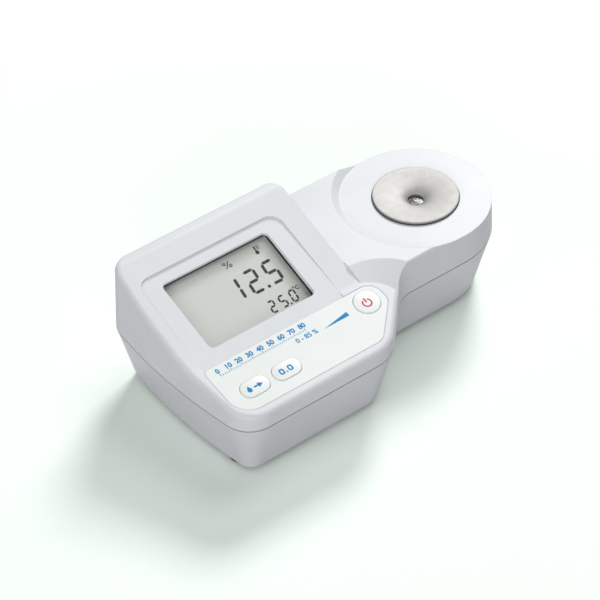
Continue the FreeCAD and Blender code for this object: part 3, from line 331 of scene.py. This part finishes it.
def board_resist(name, turn, centre):
    """Green resist over a weave, with paler copper runs and small tinned pads."""
    material, main, add, feed = new_finish(name)
    place = add("TexCoord").outputs["Object"]
    away = [-part * MM for part in centre]
    level = add("Mapping", {"Vector": place, "Location": away}, vector_type="POINT")
    along = add("Mapping", {"Vector": level.outputs["Vector"], "Rotation": turn}, vector_type="POINT")
    flat = along.outputs["Vector"]
    runs = add("TexBrick", {
        "Vector": flat, "Scale": 260.0, "Mortar Size": 0.035, "Mortar Smooth": 0.1, "Color1": (0, 0, 0, 1),
        "Color2": (0.15, 0.15, 0.15, 1), "Mortar": (1, 1, 1, 1)}).outputs["Color"]
    pads = add("TexVoronoi", {"Vector": flat, "Scale": 330.0}, feature="F1").outputs["Distance"]
    weave = add("TexNoise", {"Vector": flat, "Scale": 2400.0, "Detail": 1.0}).outputs["Fac"]
    green = between(add, weave, (0.012, 0.085, 0.038, 1), (0.018, 0.115, 0.050, 1))
    copper = between(add, runs, green, (0.035, 0.190, 0.080, 1))
    tinned = spread(add, pads, 0.13, 0.11, 0.0, 1.0)
    feed(main, "Base Color", between(add, tinned, copper, (0.62, 0.61, 0.57, 1)))
    feed(main, "Metallic", tinned)
    feed(main, "Roughness", spread(add, weave, 0.3, 0.7, 0.28, 0.40))
    bump = add("Bump", {"Height": runs, "Strength": 0.4, "Distance": 0.03 * MM})
    feed(main, "Normal", bump.outputs["Normal"])
    return material


dress(["main_board"], board_resist("main_board_resist", (-DISPLAY_TILT, 0, 0), (-48.7, 8.4, 40.0)))
dress(["keypad_board"], board_resist("key_board_resist", (-KEYS_TILT, 0, 0), (-39.5, -30.5, 34.0)))
dress(["lamp_board"], board_resist("lamp_board_resist", (0, -ARM_TILT, 0), (44.9, 14.5, 30.1)))
dress(["sensor_board"], board_resist("sensor_board_resist", (0, ARM_TILT, 0), (74.1, 14.5, 30.1)))
dress(["processor", "image_sensor", "temperature_probe", "read_switch", "zero_switch", "power_switch"],
      moulded("chip_moulding", (0.026, 0.026, 0.028), 0.55, 0.25, 0.006))
BOARD_SCREWS, BOARD_HEADS = [(-87.0, -8.0), (-10.5, -8.0), (-87.0, 26.0), (-10.5, 26.0)], -14.0
KEYPAD_SCREWS, KEYPAD_HEADS = [(-65.35, -25.0), (-36.0, -36.0), (-14.5, -38.0)], -11.4
set_screws("main_board_screws", [display_at(x, y, BOARD_HEADS) for x, y in BOARD_SCREWS],
           (DISPLAY_TILT, 0.0, 0.0), BOARD_SCREW, ["board_screw_%d" % i for i in range(1, 5)])
set_screws("key_board_screws", [keys_at(x, y, KEYPAD_HEADS) for x, y in KEYPAD_SCREWS],
           (KEYS_TILT, 0.0, 0.0), BOARD_SCREW, ["keypad_screw_%d" % i for i in range(1, 4)])

# Display
# A reflective liquid-crystal cell between two striped rubber contact bars, in a black frame, behind a
# clear acrylic pane. The digits are dark segments in the cell, leaning a little.


def cell_glass():
    """Grey-green reflective cell with a faint cloud and a satin polariser."""
    material, main, add, feed = new_finish("cell_polariser")
    place = add("TexCoord").outputs["Object"]
    cloud = add("TexNoise", {"Vector": place, "Scale": 24.0, "Detail": 2.0}).outputs["Fac"]
    fibre = add("TexNoise", {"Vector": place, "Scale": 3000.0, "Detail": 2.0}).outputs["Fac"]
    feed(main, "Base Color", between(add, cloud, (0.615, 0.640, 0.590, 1), (0.650, 0.672, 0.628, 1)))
    feed(main, "Roughness", spread(add, fibre, 0.3, 0.7, 0.30, 0.42))
    bump = add("Bump", {"Height": fibre, "Strength": 0.2, "Distance": 0.004 * MM})
    feed(main, "Normal", bump.outputs["Normal"])
    return material


def clear_pane():
    """Acrylic pane: nearly all see-through, with a trace of wiping marks in its gloss."""
    material, main, add, feed = new_finish("pane_acrylic")
    place = add("TexCoord").outputs["Object"]
    stretched = add("Mapping", {"Vector": place, "Scale": (40.0, 260.0, 40.0)}).outputs["Vector"]
    wipe = add("TexNoise", {"Vector": stretched, "Scale": 1.0, "Detail": 4.0}).outputs["Fac"]
    feed(main, "Roughness", spread(add, wipe, 0.35, 0.75, 0.03, 0.14))
    feed(main, "Base Color", between(add, wipe, (0.93, 0.95, 0.94, 1), (0.97, 0.98, 0.97, 1)))
    main.inputs["Alpha"].default_value = 0.02
    return material


def striped_rubber():
    """Contact bar: thin black conducting layers between grey ones."""
    material, main, add, feed = new_finish("contact_bar_rubber")
    place = add("TexCoord").outputs["Object"]
    wave = add("TexWave", {"Vector": place, "Scale": 320.0, "Distortion": 0.2}, wave_type="BANDS")
    stripe = wave.outputs["Fac"]
    feed(main, "Base Color", between(add, stripe, (0.03, 0.03, 0.03, 1), (0.30, 0.30, 0.33, 1)))
    feed(main, "Roughness", spread(add, stripe, 0.0, 1.0, 0.60, 0.75))
    return material


dress(["lcd_glass"], cell_glass())
dress(["display_window"], clear_pane())
dress(["contact_strip_front", "contact_strip_rear"], striped_rubber())
dress(["lcd_frame"], moulded("lcd_frame_plastic", (0.020, 0.020, 0.022), 0.5, 0.4, 0.01))

# each digit's strokes: a top, b and c right, d bottom, e and f left, g middle
STROKES = {"0": "abcdef", "1": "bc", "2": "abged", "5": "afgcd"}
LEAN = math.tan(math.radians(5.0))
CELL_CENTRE, CELL_TOP = (-48.7, 8.7), -4.882
PRINT_THICK, PRINT_GAP = 0.03, 0.005
FULL = 2 * math.pi


def box(x0, y0, x1, y1):
    return [(x0, y0), (x1, y0), (x1, y1), (x0, y1)]


def moved(outline, by):
    return [(x + by[0], y + by[1]) for x, y in outline]


def stroke_outline(letter, wide, high, thick):
    """Corners of one stroke of a digit, from the digit's lower left corner, with pointed ends."""
    half = thick / 2
    gap = thick * 0.12
    left, right, low, top, mid = half, wide - half, half, high - half, high / 2
    ends = {"a": ((left, top), (right, top)), "g": ((left, mid), (right, mid)),
            "d": ((left, low), (right, low)), "f": ((left, top), (left, mid)),
            "b": ((right, top), (right, mid)), "e": ((left, mid), (left, low)),
            "c": ((right, mid), (right, low))}
    (x0, y0), (x1, y1) = ends[letter]
    along = Vector((x1 - x0, y1 - y0)).normalized()
    side = Vector((-along.y, along.x)) * half
    start = Vector((x0, y0)) + along * gap
    end = Vector((x1, y1)) - along * gap
    inner = along * half
    return [start, start + inner + side, end - inner + side, end, end - inner - side,
            start + inner - side]


def add_plate(mesh, outline):
    """Closed plate of ink over an outline that runs to the left, from the placement's level up."""
    bottom = [mesh.verts.new((x, y, 0)) for x, y in outline]
    top = [mesh.verts.new((x, y, PRINT_THICK)) for x, y in outline]
    mesh.faces.new(top)
    mesh.faces.new(bottom[::-1])
    for i in range(len(outline)):
        k = (i + 1) % len(outline)
        mesh.faces.new((bottom[i], bottom[k], top[k], top[i]))


def add_digits(mesh, text, corner, size, thick, pitch):
    """Segment digits at an even pitch that end at a lower right corner; a point stands between two."""
    (x, low), (wide, high) = corner, size
    for letter in reversed(text):
        if letter == ".":
            left = x + (pitch - wide - thick) / 2
            add_plate(mesh, box(left, low, left + thick, low + thick))
            continue
        for stroke in STROKES[letter]:
            outline = stroke_outline(stroke, wide, high, thick)
            add_plate(mesh, [(x - wide + spot.x + LEAN * spot.y, low + spot.y) for spot in outline])
        x -= pitch


def round_outline(centre, radius, count, start=0.0, sweep=FULL):
    return [(centre[0] + radius * math.cos(start + sweep * i / count),
             centre[1] + radius * math.sin(start + sweep * i / count)) for i in range(count)]


def add_arc(mesh, centre, outer, inner, count, start=0.0, sweep=FULL):
    """Part of a flat ring, as a row of small plates; a full ring closes on itself."""
    for i in range(count):
        a, b = start + sweep * i / count, start + sweep * (i + 1) / count
        corners = [(r * math.cos(t), r * math.sin(t)) for r, t in
                   ((inner, a), (outer, a), (outer, b), (inner, b))]
        add_plate(mesh, moved(corners, centre))


def printed(name, mesh, place, material, body):
    """A flat print in millimetres about a placement becomes a piece in the frame."""
    bmesh.ops.remove_doubles(mesh, verts=mesh.verts, dist=0.0005)
    data = bpy.data.meshes.new(name)
    mesh.to_mesh(data)
    mesh.free()
    data.transform(place @ Matrix.Scale(MM, 4))
    data.materials.append(material)
    piece = new_piece(name, data)
    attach(piece, body)


def ink(name, colour, dither):
    """Screen-printed ink: even, with a slightly grainy film."""
    material, main, add, feed = new_finish(name)
    place = add("TexCoord").outputs["Object"]
    film = add("TexNoise", {"Vector": place, "Scale": dither, "Detail": 3.0}).outputs["Fac"]
    feed(main, "Base Color", between(add, film, shade(colour, 0.88), shade(colour, 1.12)))
    feed(main, "Roughness", spread(add, film, 0.3, 0.7, 0.35, 0.55))
    main.inputs["Specular IOR Level"].default_value = 0.15
    return material


digits = bmesh.new()
add_digits(digits, "12.5", (24.3, -4.4), (6.9, 13.0), 1.5, 10.5)
add_digits(digits, "25.0", (23.9, -16.7), (3.7, 6.8), 0.95, 5.9)
# percent sign
PERCENT = (5.3, 15.2)
for side in (-1, 1):
    add_arc(digits, (PERCENT[0] + 1.3 * side, PERCENT[1] - 1.0 * side), 0.85, 0.4, 20)
add_plate(digits, moved([(-1.6, -1.8), (-1.0, -1.8), (1.6, 1.8), (1.0, 1.8)], PERCENT))
# degrees Celsius
add_arc(digits, (24.7, -9.6), 0.55, 0.22, 18)
add_arc(digits, (26.6, -10.4), 1.15, 0.7, 24, math.radians(40), math.radians(280))
# thermometer: bulb, tube and three marks
BULB, MARK_STEP = (21.6, 13.9), 0.8
add_arc(digits, BULB, 1.0, 0.0, 24)
add_plate(digits, moved(box(-0.4, 0.7, 0.4, 3.5), BULB))
for i in range(3):
    add_plate(digits, moved(box(0.9, 1.4, 2.3, 1.75), (BULB[0], BULB[1] + MARK_STEP * i)))
printed("display_digits", digits, display_at(*CELL_CENTRE, CELL_TOP + PRINT_GAP),
        ink("segment_dark", (0.006, 0.007, 0.006), 600.0), "case")

# Keys
# Three white silicone-backed caps under the film, each with a stem that reaches its switch. Their edges
# are soft, and their symbols are printed.
KEY_TOP, KEY_EDGE = 0.5, 0.42
READ_KEY, ZERO_KEY, POWER_KEY = (-74.5, -36.2), (-57.1, -36.2), (-2.9, -26.2)
KEY_BLUE, POWER_RED = (0.0, 0.270, 0.600), (0.72, 0.030, 0.028)


def soften_key(name, material):
    """A copy of a key with its edges rounded, which stands for the plain one."""
    mesh = bmesh.new()
    mesh.from_mesh(nodes[name].data)
    bmesh.ops.remove_doubles(mesh, verts=mesh.verts, dist=0.002 * MM)
    bmesh.ops.dissolve_limit(mesh, angle_limit=math.radians(0.8), verts=mesh.verts, edges=mesh.edges)
    bmesh.ops.recalc_face_normals(mesh, faces=mesh.faces)
    data = bpy.data.meshes.new(name + "_soft")
    mesh.to_mesh(data)
    mesh.free()
    piece = new_piece(name + "_soft", data)
    rounding = piece.modifiers.new("rounding", "BEVEL")
    rounding.width = KEY_EDGE * MM
    rounding.segments = 4
    rounding.limit_method = "ANGLE"
    rounding.angle_limit = math.radians(40)
    settle(piece, rounding)
    piece.data.materials.clear()
    piece.data.materials.append(material)
    piece.data.shade_smooth()
    piece.data.set_sharp_from_angle(angle=math.radians(35))
    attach(piece, name)
    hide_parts(name)


def key_symbol(key, mesh, centre, material):
    place = keys_at(*centre, KEY_TOP + PRINT_GAP)
    printed(key + "_symbol", mesh, place, material, key + "_key")


def add_nought(mesh, centre, wide, high, thick, corner=0.62, count=40):
    """A plain round-cornered nought."""
    for i in range(count):
        ring = []
        for part, edge in ((i, 0.0), (i, thick), (i + 1, thick), (i + 1, 0.0)):
            cos_t, sin_t = math.cos(FULL * part / count), math.sin(FULL * part / count)
            x = math.copysign(abs(cos_t) ** corner, cos_t) * (wide / 2 - edge)
            y = math.copysign(abs(sin_t) ** corner, sin_t) * (high / 2 - edge)
            ring.append((x, y))
        add_plate(mesh, moved(ring[::-1], centre))


key_skin = moulded("key_film", (0.900, 0.935, 0.925), 0.34, 0.5, 0.004)
for key in ("read_key", "zero_key", "power_key"):
    soften_key(key, key_skin)
key_blue = ink("key_blue_ink", KEY_BLUE, 900.0)

# a drop and an arrow
symbol = bmesh.new()
drop = round_outline((-2.9, -0.45), 1.2, 22, math.radians(150), math.radians(240))
add_plate(symbol, drop + [(-1.86, 0.15), (-2.9, 1.9)])
add_plate(symbol, box(-0.4, -0.42, 2.2, 0.42))
add_plate(symbol, [(1.9, -1.45), (4.4, 0.0), (1.9, 1.45)])
key_symbol("read", symbol, READ_KEY, key_blue)

# nought point nought
symbol = bmesh.new()
for side in (-1, 1):
    add_nought(symbol, (2.3 * side, 0.0), 2.6, 3.2, 0.75)
add_plate(symbol, round_outline((0.0, -1.15), 0.45, 16))
key_symbol("zero", symbol, ZERO_KEY, key_blue)

# the open ring and bar of a switch
symbol = bmesh.new()
add_arc(symbol, (0, 0), 2.5, 1.75, 48, math.radians(122), math.radians(296))
add_plate(symbol, box(-0.4, 0.3, 0.4, 2.9))
key_symbol("power", symbol, POWER_KEY, ink("power_red_ink", POWER_RED, 900.0))

# Key film
# A white polyester sheet stuck into its recess, with holes for the keys and a blue scale and range
# printed on it.
SCALE_LEFT, SCALE_RIGHT, SCALE_LOW = -83.0, -36.0, -23.6
TICKS, NUMBERS = 40, 8
TICK_SHORT, TICK_LONG, TICK_WIDE = 0.9, 1.5, 0.3
RANGE_LOW, TYPE_HIGH = -27.3, 2.5
film_white = moulded("key_sheet_film", (0.860, 0.905, 0.885), 0.42, 0.8, 0.003)
film_white.node_tree.nodes["Principled BSDF"].inputs["Coat Weight"].default_value = 0.05
dress(["key_overlay"], film_white)
film_blue = ink("film_blue_ink", KEY_BLUE, 900.0)


def tick_tree():
    """Graduation lines along X: a short line for each unit step, longer ones at every fifth."""
    tree, add, feed, given = new_tree("scale_ticks", [
        *((name, "Float") for name in ("Step", "Short", "Long", "Stroke")), ("Count", "Int"),
        ("Ink", "Material")])
    step = add("ShaderNodeCombineXYZ", {0: given["Step"]})
    row = add("GeometryNodeMeshLine", {"Count": given["Count"], "Offset": step.outputs[0]})
    number = add("GeometryNodeInputIndex").outputs[0]
    rest = add("ShaderNodeMath", {0: number, 1: 5.0}, operation="MODULO").outputs[0]
    fifth = add("ShaderNodeMath", {0: rest, 1: 0.5}, operation="LESS_THAN").outputs[0]
    high = add("ShaderNodeMapRange", {"Value": fifth, "To Min": given["Short"], "To Max": given["Long"]})
    line = add("GeometryNodeMeshCube", {"Size": (1.0, 1.0, 1.0)})
    stand = add("GeometryNodeTransform", {"Geometry": line.outputs["Mesh"], "Translation": (0.0, 0.5, 0.5)})
    size = add("ShaderNodeCombineXYZ", {0: given["Stroke"], 1: high.outputs[0], 2: PRINT_THICK})
    placed = add("GeometryNodeInstanceOnPoints", {
        "Points": row.outputs["Mesh"], "Instance": stand.outputs[0], "Scale": size.outputs[0]})
    close_tree(add, placed.outputs[0], given["Ink"])
    return tree


scale_print = new_piece("scale_ticks", bpy.data.meshes.new("scale_ticks"))
run_tree(scale_print, tick_tree(), {
    "Step": (SCALE_RIGHT - SCALE_LEFT) / TICKS, "Short": TICK_SHORT, "Long": TICK_LONG, "Stroke": TICK_WIDE,
    "Count": TICKS + 1, "Ink": film_blue})
scale_print.data.transform(keys_at(SCALE_LEFT, SCALE_LOW, 0.004) @ Matrix.Scale(MM, 4))
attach(scale_print, "case")


def lettered(name, text, x, y, bold):
    """Plain numbers on the film in the stock letter form, made a mesh before they are placed."""
    words = bpy.data.curves.new(name, "FONT")
    words.body = text
    words.size = TYPE_HIGH / 0.7
    words.align_x = "CENTER"
    words.extrude = PRINT_THICK / 2
    words.offset = bold
    words.resolution_u = 4
    holder = new_piece(name + "_type", words)
    data = evaluated_mesh(holder)
    bpy.data.objects.remove(holder)
    data.transform(keys_at(x, y, 0.022) @ Matrix.Scale(MM, 4))
    data.materials.clear()
    data.materials.append(film_blue)
    piece = new_piece(name, data)
    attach(piece, "case")


for i in range(NUMBERS + 1):
    along = SCALE_LEFT + (SCALE_RIGHT - SCALE_LEFT) * i / NUMBERS
    lettered("scale_number_%d" % (10 * i), str(10 * i), along, SCALE_LOW + 2.0, 0.14)
lettered("range_print", "0 - 85 %", -37.5, RANGE_LOW, 0.07)
wedge = bmesh.new()
add_plate(wedge, [(0, 0), (14.5, 0), (14.5, 2.4)])
printed("range_wedge", wedge, keys_at(-28.5, RANGE_LOW, PRINT_GAP), film_blue, "case")

# Upper case half and the joint gasket
# The upper shell is moulded in the same plastic: a sloping head with the display and keys, a scoop
# behind the power key, and the well block. A black cord of rubber fills the joint.
dress(["upper_case"], case_skin)
dress(["case_gasket"], rubber("joint_rubber", (0.035, 0.035, 0.038), 0.5))

# Sample dish
# Turned from stainless steel and blasted satin, clamped with a brass nut from inside. A shallow bowl
# leads to the hole over the prism.
WELL = (59.5, 14.5)
# radius and height of the flange, the bowl and the neck, as the outline meets them
FLANGE = [(20.55, 48.6), (20.55, 49.3), (20.40, 49.58)]
BOWL_RIM, BOWL_HOLE = (20.15, 49.7), (3.9, 46.3)
NECK = [(3.9, 44.6), (10.5, 44.6), (10.5, 41.0), (14.8, 41.0), (14.8, 44.0), (18.0, 44.0), (18.0, 48.6)]


def turned_metal(name, colour, pitch, depth, low, high):
    """Metal turned about the well axis: fine rings and a soft satin cloud."""
    material, main, add, feed = new_finish(name)
    place = add("TexCoord").outputs["Object"]
    centred = add("Mapping", {"Vector": place, "Location": (-WELL[0] * MM, -WELL[1] * MM, 0.0)})
    flat = add("VectorMath", {0: centred.outputs["Vector"], 1: (1.0, 1.0, 0.0)}, operation="MULTIPLY")
    radius = add("VectorMath", {0: flat.outputs["Vector"]}, operation="LENGTH").outputs["Value"]
    rings = add("TexNoise", {"W": radius, "Scale": 1 / (pitch * MM), "Detail": 3.0},
                noise_dimensions="1D").outputs["Fac"]
    cloud = add("TexNoise", {"Vector": place, "Scale": 300.0, "Detail": 5.0}).outputs["Fac"]
    feed(main, "Base Color", between(add, spread(add, cloud, 0.3, 0.7, 0.0, 1.0), shade(colour, 0.94),
                                     shade(colour, 1.04)))
    feed(main, "Roughness", spread(add, rings, 0.3, 0.7, low, high))
    bump = add("Bump", {"Height": rings, "Strength": 0.35, "Distance": depth * MM})
    feed(main, "Normal", bump.outputs["Normal"])
    main.inputs["Metallic"].default_value = 1.0
    return material


def bowl_curve(count):
    """Radius and height of the bowl from the rim to the hole: nearly flat, then a soft funnel."""
    points = []
    for i in range(count + 1):
        t = i / count
        fall = 0.55 * t ** 2 + 0.45 * t ** 9
        points.append((BOWL_RIM[0] + (BOWL_HOLE[0] - BOWL_RIM[0]) * t,
                       BOWL_RIM[1] + (BOWL_HOLE[1] - BOWL_RIM[1]) * fall))
    return points


def turned(name, outline, count, material):
    """Closed outline of radius and height in millimetres, spun about the well axis."""
    mesh = bmesh.new()
    rings = []
    for i in range(count):
        x, y = math.cos(FULL * i / count), math.sin(FULL * i / count)
        rings.append([mesh.verts.new(Vector((WELL[0] + r * x, WELL[1] + r * y, z)) * MM) for r, z in outline])
    for i in range(count):
        here, there = rings[i], rings[(i + 1) % count]
        for j in range(len(outline)):
            k = (j + 1) % len(outline)
            mesh.faces.new((here[j], there[j], there[k], here[k]))
    bmesh.ops.recalc_face_normals(mesh, faces=mesh.faces)
    data = bpy.data.meshes.new(name)
    mesh.to_mesh(data)
    mesh.free()
    data.materials.append(material)
    data.shade_smooth()
    data.set_sharp_from_angle(angle=math.radians(24))
    return new_piece(name, data)


dish_steel = turned_metal("dish_steel", (0.330, 0.323, 0.312), 0.25, 0.004, 0.56, 0.68)
dish = turned("turned_dish", FLANGE + bowl_curve(28) + NECK, 128, dish_steel)
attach(dish, "case")
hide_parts("sample_dish")
dress(["well_nut"], turned_metal("nut_brass", (0.72, 0.52, 0.24), 0.3, 0.006, 0.22, 0.38))

# Optics
# A black block holds the prism under the dish hole, with an amber lamp on one arm and the lens and
# sensor on the other.
BLOCK_SCREW_OUT, BLOCK_HEADS = 12.6, 37.1
ARM_REACH, ARM_HIGH = 14.6, 30.1
ARM_SCREW_OUT, ARM_HEADS = 7.5, -2.6
ARM_SCREW = (1.9, 1.0, 0.9, 5.5, 0.7)
dress(["optics_block"], moulded("optics_block_plastic", (0.020, 0.020, 0.021), 0.6, 0.4, 0.01))


def optical_glass(name, tint, clear):
    """Polished glass with a faint haze of dust."""
    material, main, add, feed = new_finish(name)
    place = add("TexCoord").outputs["Object"]
    haze = add("TexNoise", {"Vector": place, "Scale": 700.0, "Detail": 4.0}).outputs["Fac"]
    feed(main, "Base Color", between(add, haze, shade(tint, 0.94), shade(tint, 1.0)))
    feed(main, "Roughness", spread(add, haze, 0.4, 0.8, 0.02, 0.12))
    main.inputs["Transmission Weight"].default_value = clear
    main.inputs["IOR"].default_value = 1.62
    return material


dress(["prism"], optical_glass("prism_glass_polished", (0.10, 0.105, 0.10), 0.2))
dress(["lens"], optical_glass("lens_glass_polished", (0.93, 0.95, 0.93), 0.9))
dress(["lamp"], optical_glass("lamp_amber_resin", (0.95, 0.52, 0.06), 0.75))
set_screws("optics_screws", [Matrix.Translation(Vector((WELL[0], WELL[1] + y, BLOCK_HEADS)) * MM)
                             for y in (BLOCK_SCREW_OUT, -BLOCK_SCREW_OUT)],
           (0.0, 0.0, 0.0), BOARD_SCREW, ["optics_screw_1", "optics_screw_2"])
for side, name, replaced in ((-1, "lamp_board_screws", ("optics_board_screw_1", "optics_board_screw_2")),
                             (1, "sensor_board_screws", ("optics_board_screw_3", "optics_board_screw_4"))):
    turn = Matrix.Rotation(-ARM_TILT * side, 4, "Y")
    arm_end = Matrix.Translation(Vector((WELL[0] + ARM_REACH * side, WELL[1], ARM_HIGH)) * MM) @ turn
    heads = [Matrix.Translation(Vector((0, y, ARM_HEADS)) * MM) for y in (-ARM_SCREW_OUT, ARM_SCREW_OUT)]
    set_screws(name, [arm_end @ head for head in heads], (0.0, -ARM_TILT * side, 0.0), ARM_SCREW, replaced)

# Studio
# Pale floor and white surround. A soft key lamp stands to the right and behind; weaker ones hang above and
# stand in front and on the left, and all aim at the middle of the case.
FLOOR_LOW, FLOOR_HALF = -0.1, 2.5
FLOOR_SEEN, FLOOR_MIRRORED = (1.10, 1.20, 1.12, 1), (0.90, 0.90, 0.90, 1)
FLOOR_BOUNCED = (0.42, 0.42, 0.43, 1)
WHITE, SKY_STRENGTH = (1.0, 1.0, 1.0, 1.0), 0.25
LAMP_AIM = (0.0, 0.0, 0.03)
floor_mesh = bmesh.new()
bmesh.ops.create_grid(floor_mesh, x_segments=2, y_segments=2, size=FLOOR_HALF,
                      matrix=Matrix.Translation((0.0, 0.0, FLOOR_LOW * MM)))
floor_data = bpy.data.meshes.new("floor")
floor_mesh.to_mesh(floor_data)
floor_mesh.free()
new_piece("floor", floor_data)
floor_paint, floor_main, add, feed = new_finish("floor_paper")
seen = add("LightPath").outputs
mirrored = add("Math", {0: seen["Is Glossy Ray"], 1: seen["Is Transmission Ray"]}, operation="MAXIMUM")
bounced = between(add, mirrored.outputs[0], FLOOR_BOUNCED, FLOOR_MIRRORED)
feed(floor_main, "Base Color", between(add, seen["Is Camera Ray"], bounced, FLOOR_SEEN))
feed(floor_main, "Roughness", 0.9)
feed(floor_main, "Specular IOR Level", 0.0)
floor_data.materials.append(floor_paint)

world = bpy.data.worlds.new("studio")
bpy.context.scene.world = world
world.use_nodes = True
light = world.node_tree.nodes["Background"]
add, feed = makers(world.node_tree, "ShaderNode")
feed(light, "Color", WHITE)
feed(light, "Strength", SKY_STRENGTH)
rays = add("LightPath").outputs
direct = rays["Is Camera Ray"]
for kind in ("Is Glossy Ray", "Is Transmission Ray"):
    direct = add("Math", {0: direct, 1: rays[kind]}, operation="MAXIMUM").outputs[0]
shown = add("Background", {"Color": WHITE})
choice = add("MixShader", {0: direct, 1: light.outputs[0], 2: shown.outputs[0]})
feed(world.node_tree.nodes["World Output"], 0, choice.outputs[0])


def soft_lamp(name, spot, size, power):
    lamp = bpy.data.lights.new(name, "AREA")
    lamp.shape = "DISK"
    lamp.size = size
    lamp.energy = power
    holder = new_piece(name, lamp)
    holder.location = spot
    holder.rotation_euler = (Vector(LAMP_AIM) - Vector(spot)).to_track_quat("-Z", "Y").to_euler()


soft_lamp("key_light", (1.86, 1.35, 1.92), 1.0, 54.0)
soft_lamp("overhead", (1.00, 0.10, 2.25), 1.2, 9.0)
soft_lamp("front_fill", (-1.19, -1.58, 0.30), 1.6, 19.0)
soft_lamp("left_fill", (-1.82, -0.20, 0.81), 1.2, 6.0)

# Camera
# Set by the case's own outline in the photograph: about 1.27 m away, looking down by 42 degrees.
YAW, PITCH, ROLL, AWAY = 0.651, 0.738, -0.018, 1.2664
AIM_HIGH, AIM_LEFT, AIM_UP = 25.0, 16.714, 1.548
LENS, SENSOR = 164.0, 36.0
back = Vector((-math.sin(YAW) * math.cos(PITCH), -math.cos(YAW) * math.cos(PITCH), math.sin(PITCH)))
across = Vector((math.cos(YAW), -math.sin(YAW), 0.0))
up = back.cross(across)
across_turned = across * math.cos(ROLL) + up * math.sin(ROLL)
up_turned = up * math.cos(ROLL) - across * math.sin(ROLL)
aim = Vector((0.0, 0.0, AIM_HIGH * MM)) - across * AIM_LEFT * MM + up * AIM_UP * MM
camera = bpy.data.cameras.new("camera")
camera.sensor_width = SENSOR
camera.lens = LENS
camera.clip_start = 0.05
viewer = new_piece("camera", camera)
viewer.matrix_world = Matrix.Translation(aim + back * AWAY) @ Matrix(
    (across_turned, up_turned, back)).transposed().to_4x4()
bpy.context.scene.camera = viewer
bpy.context.scene.view_settings.view_transform = "Standard"
